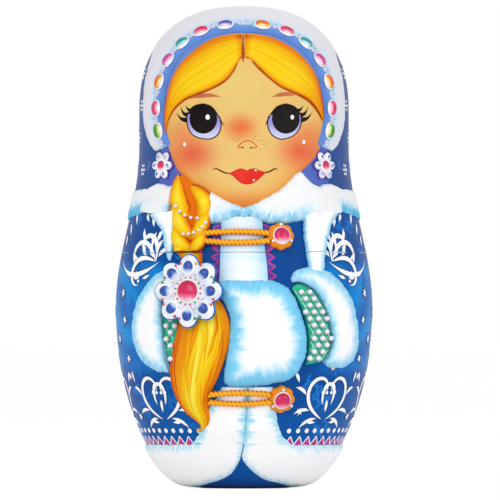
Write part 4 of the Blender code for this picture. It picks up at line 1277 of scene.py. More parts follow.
# Green lining with a pale lattice, and a pearl in each of its fields.
def cuffLining(k, word):
    f = cuffForm
    a, b = (dense(line, 0.6) for line in f[word + "Lining"])
    piece, pearls = Piece("lower", k), Piece("lower", k)
    azimuth, z, u, v = between(a, b, piece.pick(60, 24), 10)
    # Painted shade: the lining is darker towards both its edges.
    sheet(piece, azimuth, z, 0.5 + 0.3 * np.sin(pi * v), furSeat, np.abs(v - 0.5) * 2)
    low, high = max(a[:, 1].min(), b[:, 1].min()), min(a[:, 1].max(), b[:, 1].max())
    sideOf = lambda line, h: float(np.interp(h, np.maximum.accumulate(line[:, 1]), line[:, 0]))

    def inside(x, h):
        first, last = sorted((sideOf(a, h), sideOf(b, h)))
        return low < h < high and first + 0.4 < x < last - 0.4

    xs = np.concatenate([a[:, 0], b[:, 0]])
    pitch, size, steep = f["pearlPitch"], f["pearlRadius"], f["latticeSteepness"]
    for row, h in enumerate(np.arange(low + 1.2, high - 0.6, pitch * 0.78)):
        for x in np.arange(xs.min(), xs.max(), pitch) + (pitch / 2 if row % 2 else 0):
            if inside(x, h) and k == 0:
                spot = map(float, settle(*frontView(x, h), 1.4))
                pearl(pearls, frameOn(*spot, furSeat + 0.55), size)
            elif inside(x, h):
                polar(pearls, disc(x, h, size, 12), furSeat + 1.0, 0.1, 2, tint=0.8)
    for lean in (-1, 1) if k < 2 else ():
        for start in np.arange(low - 14, high + 14, pitch * steep):
            across = np.arange(xs.min(), xs.max(), 0.45)
            spots = [(x, start + lean * (x - xs.mean()) * steep) for x in across]
            spots = [p for p in spots if inside(*p)]
            if len(spots) > 2:
                stroke(piece, spots, 0.28, furSeat + 0.74, 0.08, steps=14, across=3, taper=(0, 0), slot=1)
    piece.build(word + "CuffLining", "lining lattice", "green_lining_paste", word + "_cuff_lining")
    pearls.build(word + "CuffLiningPearls", "pearl", "silver_white_mount")


hemForm = {
    "top": [(-180, 16.6), (-60, 16.4), (-34, 16.6), (-27, 17), (25, 17), (32, 16.5), (60, 16.4),
            (180, 16.6)],
    "low": 0.5, "join": 17.0, "rise": 0.9, "level": (-31, 28),
    "notch": [(18, 0.5), (15.3, 2), (8.8, 3.4), (5.6, 5), (2.6, 7.4), (0.2, 10.2), (-0.8, 12.4), (0.2, 17)],
    "notchLeft": [(-17.4, 0.5), (-14.6, 2), (-9, 3.6), (-4.9, 5.8), (-2.8, 8.6), (-1.6, 11), (-1.1, 12.6),
                  (-0.2, 17)],
    "left": [(-19, 17), (-17.6, 18.8), (-16.6, 20.8), (-15.6, 22.8), (-15.7, 25.6), (-15, 28), (-12.7, 30.8),
             (-10.2, 34.4), (-8.2, 38.2)],
    "right": [(17.4, 17), (15.6, 18.4), (14.2, 20), (12.9, 23), (11.9, 27), (11.5, 31), (10.6, 38.2)],
    "centre": [(0.0, 17.0), (0.4, 20.0), (0.8, 25.5), (1.1, 32), (1.3, 38.2)],
}


# Fur round the hem, cut off at the height where the fronts of the coat go on from it.
def hem(k):
    f = hemForm
    piece = Piece("lower", k)
    degrees = np.linspace(-180, 180, 721)
    fray = 0.4 * (wobble(degrees * 0.7, 91) - 0.5) + 0.3 * (wobble(degrees * 2.1, 92) - 0.5)
    topZ = np.interp(degrees, *zip(*f["top"])) + fray
    topZ = np.where((degrees > f["level"][0]) & (degrees < f["level"][1]), f["join"], topZ)
    azimuths = np.radians(degrees)
    lines = [unrolled(azimuths[:304], topZ[:304]), unrolled(azimuths[-304:], topZ[-304:])]
    for word in ("left", "right", "notch", "notchLeft", "centre"):
        lines.append(unrolled(*frontView(*dense(f[word]).T)))
    edges = EdgeField(lines, lambda x, z: (x / radiusAt(z), z))
    v = np.linspace(0, 1, piece.pick(30, 14))
    heights = f["low"] + (f["join"] - f["low"]) * v
    start, stop = (np.arcsin(lineX(f[word], heights) / radiusAt(heights)) for word in ("notch", "notchLeft"))
    azimuth = start + (stop + 2 * pi - start) * np.linspace(0, 1, piece.pick(560, 220))[:, None]
    away = (np.degrees(azimuth) + 180) % 360 - 180
    z = f["low"] + (np.interp(away, degrees, topZ) - f["low"]) * v
    depth, along = edges(np.radians(away), z)
    lift = furLift(depth, along, f["rise"], 3.0, 95) * smooth(0, 2.6, z - f["low"]) ** 0.5 + 0.05
    # Painted blue shade along the hem fur's edges.
    sheet(piece, azimuth, z, lift, furSeat * 0.5, 0.62 * furShadeTint(depth, along, 3.0, 93), along, front=False)
    piece.build("hemFur", "hemFur", "white_fur_paste", "hem_fur")
    for sign, word in ((-1, "left"), (1, "right")):
        frontFur(k, word, sign, edges)


# The fur of the hem sweeps up both sides of the coat's opening.
def frontFur(k, word, sign, edges):
    f = hemForm
    piece = Piece("lower", k)
    middle = dense([(x + sign * 0.03, h) for x, h in f["centre"]], 0.4)
    side = frayed(f[word], 0.35, 97 if sign < 0 else 98)
    azimuth, z, u, v = between(*(side, middle)[::-sign], piece.pick(56, 28), piece.pick(26, 14))
    depth, along = edges(azimuth, z)
    lift = furLift(depth, along, f["rise"] + 0.5 * smooth(17, 22, z), 3.0, 95)
    # Painted blue shade along the front fur's edges.
    tint = 0.72 * furShadeTint(depth, along, 4.4, 93, 1.4)
    sheet(piece, azimuth, np.maximum(z, f["join"] + 0.02), lift, furSeat * 0.5, tint, along, front=False)
    piece.build(word + "FrontFur", "hemFur", "white_fur_paste", word + "_front_fur")


print("Plait")

plaitForm = {
    "left": [(-24.9, 87.6), (-25.6, 90.2), (-26.6, 94.3), (-26.3, 99.5), (-26.8, 104.8), (-26, 110.8),
             (-24.2, 116.4)],
    "right": [(-15.6, 87.6), (-15.6, 90.2), (-15, 92.8), (-13.5, 96.5), (-13.1, 101.4), (-11.4, 106.3),
              (-12.2, 109.8), (-18, 113.6), (-22.6, 117)],
    "lobes": [    # path, widths and warmth of each
        ([(-24.4, 117.4), (-24.6, 113.0), (-24.3, 108.0), (-22.2, 103.4), (-19.0, 100.4)],
         (2.0, 4.6, 6.8, 6.4, 1.4), 0.35),
        ([(-20.4, 113.4), (-16.6, 110.2), (-14.4, 106.8), (-15.0, 103.0), (-18.8, 99.4)],
         (2.4, 5.4, 6.4, 5.8, 1.4), 0.5),
        ([(-25.9, 108.0), (-25.2, 103.6), (-23.6, 98.8), (-20.8, 95.6), (-17.2, 93.8)],
         (1.6, 4.6, 6.6, 6.0, 1.4), 0.25),
        ([(-12.6, 106.0), (-14.2, 101.8), (-15.6, 98.2), (-18.0, 94.8), (-21.4, 92.4)],
         (1.6, 4.4, 5.8, 5.2, 1.4), 0.6),
        ([(-26.2, 98.6), (-25.4, 95.0), (-23.8, 92.0), (-21.2, 89.8), (-18.0, 88.6)],
         (1.4, 4.2, 5.8, 5.2, 1.4), 0.3),
        ([(-14.2, 97.4), (-15.6, 94.2), (-16.8, 91.8), (-18.8, 89.6), (-21.6, 87.6)],
         (1.4, 4.0, 5.0, 4.6, 1.4), 0.65),
        ([(-25.6, 92.0), (-24.2, 89.2), (-22.0, 87.0)], (1.6, 4.2, 3.0), 0.4),
    ],
    "seat": 0.65, "step": 0.16, "rise": 2.3,    # each lobe lies a step above the one before
    "pearls": [[(-25.4, 105.4), (-23.4, 103.0), (-20.6, 101.3), (-17.4, 100.9)],
               [(-14.2, 99.2), (-16.6, 96.6), (-19.6, 95.2), (-22.6, 94.9)]],
    "pearlRadius": 0.66, "pearlSpacing": 1.5625, "pearlLift": 2.9,
    "tailLeft": [(-24.9, 88), (-22.6, 85), (-21.4, 82), (-22, 78), (-23, 72), (-23.6, 66), (-24.6, 60.4),
                 (-26, 54.5), (-27.1, 47.9), (-27, 41.4), (-25.8, 35.7), (-23.6, 31), (-20.2, 27.2),
                 (-17.6, 25.2), (-16.2, 23.6), (-16.6, 22.3), (-18, 21.8)],
    "tailRight": [(-15.6, 88), (-15.6, 85), (-15.4, 82), (-13.6, 78), (-10, 72), (-6.6, 66), (-5.2, 60.4),
                  (-5.6, 54.5), (-7.2, 48.4), (-9.4, 42.4), (-11.6, 37.6), (-12.9, 33.4), (-12.9, 30),
                  (-12, 27.2), (-12.4, 24.6), (-14.2, 22.4), (-17, 21.5)],
    "tailRise": 3.0, "tailStrands": (24, 8),
}


# One strand of the plait: a painted highlight on its crown and deep orange painted shade where it tucks
# under.
def plaitLobe(piece, index, path, widths, warmth):
    f = plaitForm
    seat = f["seat"] + f["step"] * index

    def tint(s, v):
        tuckedShade = 0.66 * np.abs(v + 0.15) ** 2.2 + 1.425 * np.abs(s - 0.46) ** 1.4
        return np.clip(0.12 + tuckedShade + 0.25 * (warmth - 0.4), 0, 1.05)

    grain = lambda s, v: v * 4.2 + 0.9 * np.sin(s * 3) + index * 3.7
    depth = lambda s, v: seat + 0.16 * (wobble(v * 6 + s * 1.2 + index, 100 + index) - 0.5)
    steps, across = piece.pick((48, 19), (24, 9))
    stroke(piece, path, widths, depth, f["rise"], steps=steps, across=across, taper=(0.12, 0.2), tint=tint,
           grain=grain)


# Pearls threaded along a path; on the inner dolls, painted dots.
def pearlString(piece, path):
    f = plaitForm
    size, lift = f["pearlRadius"], f["pearlLift"]
    for x, z in evenly(curveThrough(path, 60), int(dist(path[0], path[-1]) / f["pearlSpacing"])):
        if piece.doll:
            polar(piece, disc(x, z, size, 12), lift, 0.2, 2, tint=0.8)
        else:
            spot = map(float, settle(*frontView(x, z), lift + size))
            pearl(piece, frameOn(*spot, lift), size)


def plait(k):
    f = plaitForm
    piece, strings = Piece("upper", k), Piece("upper", k)
    azimuth, z, u, v = between(dense(f["left"]), dense(f["right"]), 60, 16)
    # Deep orange underneath the strands: painted shade between them.
    sheet(piece, azimuth, z, 0.3 + 1.1 * np.sin(pi * v) ** 0.6, face["seat"], 0.8, v * 6)
    for index, lobe in enumerate(f["lobes"]):
        plaitLobe(piece, index, *lobe)
    piece.build("hairPlait", "hair", "golden_hair_paste", "plait")
    for path in f["pearls"]:
        pearlString(strings, path)
    strings.build("plaitPearls", "pearl", "silver_white_mount")


# The loose end of the plait, which fans out below its tie and curls at its tip.
def hairTail(k):
    f = plaitForm
    piece = Piece("lower", k)
    left, right = (dense(f[word], 0.5) for word in ("tailLeft", "tailRight"))
    azimuth, z, u, v = between(left, right, piece.pick(150, 60), piece.pick(44, 24))
    arch = np.sin(pi * np.clip(v, 0.02, 0.98)) ** 0.55
    ends = np.clip(np.minimum(u / 0.05, (1 - u) / 0.12), 0.1, 1) ** 0.5
    groove = wobble(v * 13 + u * 1.6, 121) * 0.6 + wobble(v * 31 + u * 2.4, 122) * 0.4
    lift = 0.2 + f["tailRise"] * arch * ends * (0.84 + 0.16 * groove)
    # Painted highlight down the middle of the tail, fainter towards its tip, with painted shade towards its
    # sides.
    bright = 0.693 * np.exp(-((v - 0.5 - 0.1 * np.sin(u * 5)) / 0.24) ** 2) * (1 - 0.4 * smooth(0.72, 1, u))
    tint = np.clip(0.66 - bright + 0.2 * (np.abs(v - 0.5) * 2) ** 4, 0, 1.05)
    sheet(piece, azimuth, z, lift, face["seat"] + 0.1, tint, v * 16 + u * 2)
    random = np.random.RandomState(7)
    a, b = evenly(left, 40), evenly(right, 40)
    steps, across = piece.pick((36, 7), (18, 5))
    for index in range(piece.pick(*f["tailStrands"])):
        place = 0.06 + 0.88 * (index * 0.618 % 1)    # of this strand, across the tail
        first = random.randint(0, 22)
        rows = np.arange(first, min(39, first + 15 + random.randint(10)))
        share = (place + 0.05 * np.sin(rows * 0.17 + index))[:, None]
        height = face["seat"] + 0.05 + f["tailRise"] * sin(pi * place) ** 0.55
        shade = 0.1 + 0.7 * random.rand() * abs(place - 0.5) * 2 + 0.25 * random.rand()
        widths = (0.5, 1.2 + 0.7 * random.rand(), 0.5)
        path = a[rows] * (1 - share) + b[rows] * share
        tint = lambda s, v: np.clip(shade + 0.25 * np.abs(v), 0, 1)
        grain = lambda s, v: v * 1.2 + index * 2.3
        stroke(piece, path, widths, height, 0.34, steps=steps, across=across, tint=tint, grain=grain)
    piece.build("hairTail", "hair", "golden_hair_paste", "plait_tail")


print("Coat front")

coatForm = {    # cords are at a height, from x to x; clasps are at degrees from the front and a height
    "left": [(-9.3, 76.5), (-9.1, 80), (-8.9, 84), (-8.8, 88), (-8.6, 92), (-8.5, 96), (-8.3, 101.5)],
    "right": [(9.0, 76.5), (8.8, 80), (8.5, 84), (8.0, 88), (7.5, 92), (7.1, 96), (6.7, 101.5)],
    "teeth": (79.4, 99.8, 3.5),    # from and to which height, and their pitch
    "cords": {"upper": (93.9, -15.2, 9.6), "lower": (33.9, -13.0, 9.8)},
    "cordRadius": 1.12, "cordLift": 1.4, "cordPitch": 3.2,
    "clasps": {"upper": (17.3, 93.9), "lower": (18.1, 33.9)},
    "claspRadius": 5.2,
}


def triangle(*corners):    # its outline in twelve points
    return evenly(np.array([*corners, corners[0]]), 13)[:-1]


# The pale satin strip down the front, with soft folds across it and a row of teeth along either side.
def placket(k):
    f = coatForm
    azimuth, z, u, v = between(dense(f["left"]), dense(f["right"]), 90, 16)
    folds = wobble(z * 0.22, 131) * 0.7 + wobble(z * 0.55 + v, 132) * 0.3
    # Painted shade and sheen on the satin: bluer towards its edges and in bands along its folds.
    tint = np.clip(0.1 + 0.8 * (np.abs(v - 0.48) * 2) ** 1.8 + 0.55 * (folds - 0.35), 0, 1)
    lift = 0.25 + 0.85 * np.sin(pi * np.clip(v, 0.01, 0.99)) ** 0.3 + 0.25 * (folds - 0.5)
    for half in ("upper", "lower"):
        piece, teeth = Piece(half, k), Piece(half, k)
        sheet(piece, azimuth, z, lift, furSeat * 0.5, tint)
        piece.build(half + "Placket", "satin", "white_fur_paste", half + "_placket")
        for word, sign in (("left", -1), ("right", 1)):
            edge = lambda h: float(lineX(f[word], h)) + sign * 0.15
            for h in np.arange(*f["teeth"]):
                low, high, tip = h - 1.7, h + 1.7, (edge(h) + sign * 3.0, h)
                polar(teeth, triangle((edge(low), low), tip, (edge(high), high)), 0.08, 0.06, 2)
                for end in (low, high):
                    line = [(edge(end) + sign * 0.3, end), tip]
                    stroke(teeth, line, 0.6, 0.16, 0.05, steps=4, across=3, taper=(0, 0), slot=1)
        teeth.build(half + "PlacketTeeth", "violet magenta", "painted_wood")


# A cord of two strands laid along a path on the front.
def twistedCord(piece, path):
    radius, pitch = coatForm["cordRadius"], coatForm["cordPitch"]
    lift = coatForm["cordLift"] + radius
    steps = 14 * int((path[-1, 0] - path[0, 0]) / pitch * 2)
    azimuth, z = settle(*frontView(*evenly(path, steps).T), lift)
    centre = onDoll(azimuth, z, lift)
    out = unit(onDoll(azimuth, z, lift + 1) - centre)
    side = np.cross(unit(np.gradient(centre, axis=0)), out)
    for strand in range(2):
        turn = 2 * pi * runAlong(centre) / mm / pitch + pi * strand
        shift = out * np.cos(turn)[:, None] + side * np.sin(turn)[:, None]
        # Each strand is painted lighter where it turns outwards and darker where it turns in, as painted
        # highlight and shade.
        tube(piece, centre + shift * radius * 0.48 * mm, radius * 0.58, 9, tint=0.45 + 0.5 * np.cos(turn))


# Two twisted cords side by side across the opening, from under the plait to the clasp.
def cordPair(k, word):
    height, start, stop = coatForm["cords"][word]
    piece = Piece(word, k)
    t = np.linspace(0, 1, 40)
    # On the inner dolls, painted highlight and shade in stripes across the cord, for the turns of its
    # strands.
    twistShade = lambda s, v: 0.5 + 0.45 * np.sin(s * 60 + v * 3)
    for sign in (-1, 1):
        z = height + sign * (1.3 + 0.75 * np.sin(pi * t) ** 0.8)
        path = np.stack([start + (stop - start) * t, z], 1)
        if k:
            stroke(piece, path[::4], 2.1, 1.7, 0.3, steps=60, taper=(0, 0), tint=twistShade)
        else:
            twistedCord(piece, path)
    piece.build(word + "Cord", "cord", "gold_cord", word + "_cord")


# A scalloped gold clasp with a pink stone and three small pearls.
def clasp(k, word):
    degrees, height = coatForm["clasps"][word]
    radius = coatForm["claspRadius"]
    if k:
        painted = Piece(word, k)
        for slot, (size, lift) in enumerate(((radius - 0.6, 2.3), (3.3, 2.6), (2.8, 2.9))):
            spot = disc(frontX(degrees, height), height, size, 24)
            polar(painted, spot, lift, 0.1, 3, tint=0.5, slot=slot)
        painted.build(word + "Clasp", "gold white stonePink", "gold_cord")
        return
    place = frameOn(radians(degrees), height, 0.25)
    top = moved(place, z=2.5)
    mount, rim, stone, beads = (Piece(word) for _ in range(4))
    profile = [(0.4, 2.6), (0.7, 2.5), (0.88, 2.2), (0.97, 1.7), (1, 1.2)]
    rosette(mount, place, lobed(radius, 0.12, 8), profile, 0.45)
    cabochon(rim, top, 3.35, 3.35, 0.5, fullness=0.4)
    cabochon(stone, moved(top, z=0.3), 2.95, 2.95, 1.9, 32, 9, 0.8)
    for turn in (90, -30, 210):
        pearl(beads, moved(top, 4.1, z=-0.3, turn=radians(turn)), 0.62)
    mount.build(word + "ClaspMount", "gold", "gold_cord", word + "_clasp")
    rim.build(word + "ClaspRim", "white", "silver_white_mount")
    stone.build(word + "ClaspStone", "stonePink", "stone_pink", word + "_clasp_stone")
    beads.build(word + "ClaspPearls", "pearl", "silver_white_mount")


print("Brooch and earrings")

broochForm = {"azimuth": -22.7, "z": 73.4, "lift": 4.9, "radius": 13.4, "petals": 8, "petalRing": 9.2}
earringForm = {"left": -49, "right": 48, "z": 120.5, "radius": 5.4, "petals": 6, "petalRing": 3.75}


# The inner dolls' painted jewel: petals round a pink stone.
def paintedFlower(piece, x, z, ring, petal, petals, seat, core):
    polar(piece, disc(x, z, ring + petal, 32), seat, 0.1, 3)
    for turn in roundAngles(petals):
        spot = oval(x + ring * cos(turn), z + ring * sin(turn), petal * 0.6, petal * 0.52, turn, 14)
        polar(piece, spot, seat + 0.3, 0.1, 2, tint=crescent(0.24), slot=1)
    polar(piece, disc(x, z, core, 24), seat + 0.3, 0.1, 3, tint=crescent(0.24), slot=2)


# A round rosette: blue stones in white petals round a pink one, with small coloured stones between.
def brooch(k):
    f = broochForm
    if k:
        painted = Piece("lower", k)
        x = frontX(f["azimuth"], f["z"], 5)
        paintedFlower(painted, x, f["z"], f["petalRing"], 3.6, f["petals"], 5.2, 4.2)
        painted.build("brooch", "silver stoneBlue stonePink", "painted_wood")
        return
    place = frameOn(radians(f["azimuth"]), f["z"], f["lift"])
    top = moved(place, z=1.15)
    plate, petals, stones, centre, dots = (Piece("lower") for _ in range(5))
    rosette(plate, place, lobed(f["radius"] + 0.45, 0.24, 8), [(0.6, 0.6), (0.97, 0.6), (1, 0.45)], slot=1)
    rosette(plate, moved(place, z=0.25), lobed(f["radius"], 0.26, 8), [(0.6, 0.9), (0.97, 0.9), (1, 0.7)])
    for i, turn in enumerate(roundAngles(f["petals"])):
        spot = moved(moved(top, f["petalRing"], turn=turn), turn=-pi / 2)
        cabochon(petals, spot, 2.9, 3.6, 0.7, 30, 6, 0.4)
        cabochon(stones, moved(spot, y=-0.2, z=0.42), 1.95, 2.25, 1.35, 28, 8, 0.75)
        for spread, tone in ((-0.29, i % 3), (0.29, (i + 1) % 3)):
            cabochon(dots, moved(top, 10.7, z=0.1, turn=turn + spread), 0.58, 0.58, 0.5, 12, 4, slot=tone)
        pearl(dots, moved(top, 6.5, turn=turn + pi / f["petals"]), 0.62, slot=3)
    for i in range(16):
        cabochon(dots, moved(top, 5.1, turn=2 * pi * (i + 0.5) / 16), 0.42, 0.42, 0.4, 10, 3, slot=i % 3)
    cabochon(centre, top, 4.55, 4.55, 0.7, 36, 6, 0.35)
    cabochon(centre, moved(top, z=0.4), 4.0, 4.0, 2.1, 40, 10, 0.75, slot=1)
    plate.build("broochPlate", "silver curl", "silver_white_mount", "brooch_plate")
    petals.build("broochPetals", "silver", "silver_white_mount")
    stones.build("broochStones", "stoneBlue", "stone_blue", "brooch_stone_ring")
    centre.build("broochCentre", "white stonePink", "stone_pink", "brooch_centre_stone")
    dots.build("broochSmallStones", "stonePink stoneGreen stoneAmber pearl", "silver_white_mount")


# A small flower of six pearls round a pink stone, on a lobed mount.
def earring(k, word):
    f = earringForm
    if k:
        painted = Piece("upper", k)
        paintedFlower(painted, frontX(f[word], f["z"]), f["z"], 2.6, 1.5, f["petals"], 0.5, 1.4)
        painted.build(word + "Earring", "silver stoneViolet stonePink", "painted_wood")
        return
    place = frameOn(radians(f[word]), f["z"], 0.3)
    top = moved(place, z=0.95)
    mount, drops, stone = (Piece("upper") for _ in range(3))
    rosette(mount, place, lobed(f["radius"] + 0.3, 0.42, 6), [(0.6, 0.6), (0.97, 0.6), (1, 0.4)], slot=1)
    rosette(mount, moved(place, z=0.2), lobed(f["radius"], 0.44, 6), [(0.6, 0.8), (0.97, 0.8), (1, 0.6)])
    for turn in roundAngles(f["petals"]):
        spot = moved(top, f["petalRing"], turn=turn)
        cabochon(drops, spot, 1.3, 0.92, 0.6, 18, 5)
        cabochon(drops, moved(spot, z=0.4), 0.72, 0.52, 0.4, 12, 4, slot=1)
    cabochon(stone, top, 2.2, 2.2, 0.4, 24, 5, 0.4)
    cabochon(stone, moved(top, z=0.25), 1.8, 1.8, 1.0, 24, 7, slot=1)
    mount.build(word + "Earring", "silver stoneViolet", "silver_white_mount", word + "_earring")
    drops.build(word + "EarringDrops", "pearl stoneBlue", "silver_white_mount")
    stone.build(word + "EarringStone", "white stonePink", "stone_pink", word + "_earring_stone")


print("Ornament")

ornament = {    # degrees are from the front; most of it is mirrored to the other side
    "stars": [(58, 79.6, 1.9), (70, 73, 2.1), (68, 63, 1.8), (77, 56, 2.2), (67, 48.6, 1.7), (90, 66, 2.1),
              (92, 49, 1.8), (108, 76, 1.9), (116, 63, 1.6), (132, 74, 2.0), (128, 53, 1.7), (148, 64, 1.9),
              (150, 83, 1.6), (164, 74, 1.7), (166, 54, 2.0), (180, 64, 2.1), (180, 86, 1.8), (29.5, 29, 1.6),
              (69, 27, 1.6), (69, 42, 1.5), (113.5, 27, 1.6), (113.5, 42, 1.5), (158, 27, 1.6),
              (158, 42, 1.5)],
    "scrolls": (46, 91, 136, 180), "scrollFoot": 27.0,
    "coatRows": [(7, 10, 12), (25, 15, 15), (36, 15, 17), (48, 15, 17), (60, 14, 17), (73, 14, 17),
                 (86, 14, 16), (97, 13, 12)],    # height, how many, and their length
    "dots": {"z": 21.8, "radius": 0.85, "count": 64, "gap": 25},
    "teeth": {"low": 16.6, "high": 19.6, "count": 60, "gap": 24},
    "sleeve": 57,
    "plumes": [(88, 20, -230, 2), (56, 25, -235, 3), (16, 25, -225, 3)],    # heading, length, curl, leaves
    # x, z, heading, length and width of each.
    "sleeveDrops": [(-5.4, 97.6, 64, 4.2, 1.4), (-1.6, 99.6, 50, 3.6, 1.4), (7.4, 98.6, 66, 4.4, 1.4),
                    (11.4, 94.6, 60, 4.6, 1.4), (14.6, 90.6, 60, 4.4, 1.4), (-7.4, 79.8, -24, 4.0, 1.2),
                    (-1.4, 78.8, -6, 4.0, 1.2), (4.8, 79.4, 12, 4.0, 1.2)],
    # Height, how many round, and how far from the front they begin.
    "scarfRows": [(119, 15, 62), (131, 15, 70), (143, 14, 70), (155, 11, 80), (166, 7, 100)],
}


# A path that sets out at a heading in degrees and turns by curl degrees, faster towards its end.
def swirl(x, z, heading, length, curl, power=1.5, count=18):
    s = np.linspace(0, 1, count)
    turn = np.radians(heading + curl * s**power)
    steps = np.stack([np.cos(turn), np.sin(turn)], 1)[:-1] * length / (count - 1)
    return np.vstack([[(x, z)], (x, z) + np.cumsum(steps, 0)])


def headingAt(path, i):
    return float(np.degrees(np.arctan2(*(path[i + 1] - path[i])[::-1])))


def toward(degrees):
    return np.array([cos(radians(degrees)), sin(radians(degrees))])


# A white stroke over a wider dark one; layers are the dark piece and the white one.
def brushed(layers, chart, path, width, taper=(0.25, 0.45)):
    halo, white = layers
    steps, across = white.pick((22, 5), (12, 3))
    stroke(halo, path, np.array(width) + 0.75, 0.07, 0.04, chart, steps, 3, taper)
    stroke(white, path, width, 0.12, 0.08, chart, steps, across, taper)


def drop(layers, chart, x, z, heading, length, width=1.1):
    brushed(layers, chart, swirl(x, z, heading, length, 12, 1, 6), (0.3, width, width * 0.9), (0.3, 0.25))


# A frost scroll: a stem that curls in round a dot, with comma leaves along its outer side.
def branch(layers, chart, x, z, heading, length, curl, leaves, width=1.35):
    stem = swirl(x, z, heading, length, curl, 1.9, 26)
    side = -copysign(1, curl)
    brushed(layers, chart, stem, (0.6, width, width, 0.6), (0.12, 0.15))
    for i in range(leaves):
        at = 2 + int(14 * i / leaves)
        away = headingAt(stem, at)
        foot = stem[at] + 0.9 * toward(away + side * 90)
        leaf = swirl(*foot, away + side * 34, length * (0.27 - 0.035 * i), side * 62, 1.2, 9)
        brushed(layers, chart, leaf, (0.3, width * 0.9, width * 0.9, 0.4), (0.25, 0.25))
    backX, backZ = stem[-4:-1].mean(0) - stem[-1]
    middle = stem[-1] + 0.7 * side * np.array([-backZ, backX])
    polar(layers[0], disc(*middle, 0.97, 14), 0.07, 0.04, 2, chart)
    polar(layers[1], disc(*middle, 0.62, 14), 0.12, 0.1, 2, chart)


# Plumes that fan out and curl from the front corner of the upper sleeve, over a row of drops.
def sleeveFan(layers, chart):
    for plume in ornament["plumes"]:
        branch(layers, chart, -9.8, 84.8, *plume, 1.75)
    for leaf in ornament["sleeveDrops"]:
        drop(layers, chart, *leaf)
    brushed(layers, chart, swirl(-11.4, 84.6, -32, 30, 84, 1.3, 22), (0.5, 1.8, 1.6, 0.4))


# Two mirrored pairs of scrolls on one foot, under a star.
def skirtScroll(layers, chart):
    foot = ornament["scrollFoot"]
    for side in (-1, 1):
        branch(layers, chart, side * 1.0, foot - 1.0, 90 - side * 62, 30, side * 285, 3)
        branch(layers, chart, side * 2.2, foot + 4.5, 90 - side * 16, 15, side * 265, 0, 1.25)
        drop(layers, chart, side * 14.6, foot + 12.8, 90 - side * 24, 4.2, 1.2)
        drop(layers, chart, side * 3.6, foot - 2.2, 90 - side * 84, 3.8)
    drop(layers, chart, 0, foot + 1.6, 90, 4.6, 1.3)
    star(layers, chart, foot + 18.5, 1.7)


# Three crossing strokes.
def star(layers, chart, z, radius):
    halo, white = layers
    polar(halo, disc(0, z, radius * 1.08, 16), 0.07, 0.04, 2, chart)
    for turn in (15, 75, 135):
        reach = radius * toward(turn)
        line = [(0, z) - reach, (0, z), (0, z) + reach]
        stroke(white, line, (0.3, 0.75, 0.3), 0.12, 0.08, chart, 5, 3, (0.2, 0.2))


# Scrolls in a blue close to the ground's, spaced evenly and turned at random.
def coatScrolls(piece, seed):
    random = np.random.RandomState(seed)
    steps = piece.pick(18, 11)
    for row, (z, count, size) in enumerate(ornament["coatRows"]):
        for i in range(count):
            chart = wrappedFrom(360 * (i + 0.5 * (row % 2) + 0.3 * random.rand()) / count)
            heading = random.choice([40, 130, 220, 310]) + random.randint(-20, 20)
            side = random.choice([-1, 1])
            path = swirl(0, z, heading, size, side * 320, 1.7, 20)
            stroke(piece, path, (0.5, 1.7, 1.5, 0.6), 0.02, 0.04, chart, steps, 3, (0.15, 0.2))
            for at, turn in ((2, 50), (5, -60), (8, -60), (11, -60)):
                leaf = swirl(*path[at], headingAt(path, at) + side * turn, size * 0.27, -side * turn, 1.2, 8)
                stroke(piece, leaf, (0.3, 1.5, 0.6), 0.02, 0.04, chart, steps // 2, 3, (0.2, 0.4))


def ringCharts(part):    # places round the hem, but for a gap in front
    degrees = [360 * (i + 0.5) / part["count"] for i in range(part["count"])]
    return [wrappedFrom(angle) for angle in degrees if part["gap"] < angle < 360 - part["gap"]]


# White dots and magenta teeth in rings above the hem fur.
def hemTrim(white, trim):
    dots, teeth = ornament["dots"], ornament["teeth"]
    for chart in ringCharts(dots):
        polar(white, disc(0, dots["z"], dots["radius"], 14), 0.12, 0.1, 2, chart)
    low, high = teeth["low"], teeth["high"]
    half = pi * float(radiusAt(low)) / teeth["count"]
    for chart in ringCharts(teeth):
        polar(trim, triangle((-half, low), (half, low), (0, high)), 0.05, 0.06, 2, chart)
        for x in (-half, half):
            stroke(white, [(x, low), (0, high + 0.1)], 0.36, 0.12, 0.06, chart, 4, 3, (0, 0))


def paintOrnament(k):
    for half in ("upper", "lower"):
        scrolls, trim, *layers = (Piece(half, k) for _ in range(4))
        coatScrolls(scrolls, 31)
        for mirror in (1, -1):
            sleeveFan(layers, wrappedFrom(ornament["sleeve"], mirror))
            for degrees in ornament["scrolls"]:
                if mirror == 1 or degrees < 180:
                    skirtScroll(layers, wrappedFrom(degrees, mirror))
            for degrees, z, size in ornament["stars"]:
                if mirror == 1 or degrees < 180:
                    star(layers, wrappedFrom(degrees, mirror), z, size)
        if half == "lower":
            hemTrim(layers[1], trim)
        scrolls.build(half + "CoatScrolls", "curl", "painted_wood")
        layers[0].build(half + "OrnamentShade", "halo", "painted_wood")
        layers[1].build(half + "Ornament", "frost", "painted_wood")
        trim.build("hemTeeth", "magenta", "painted_wood")


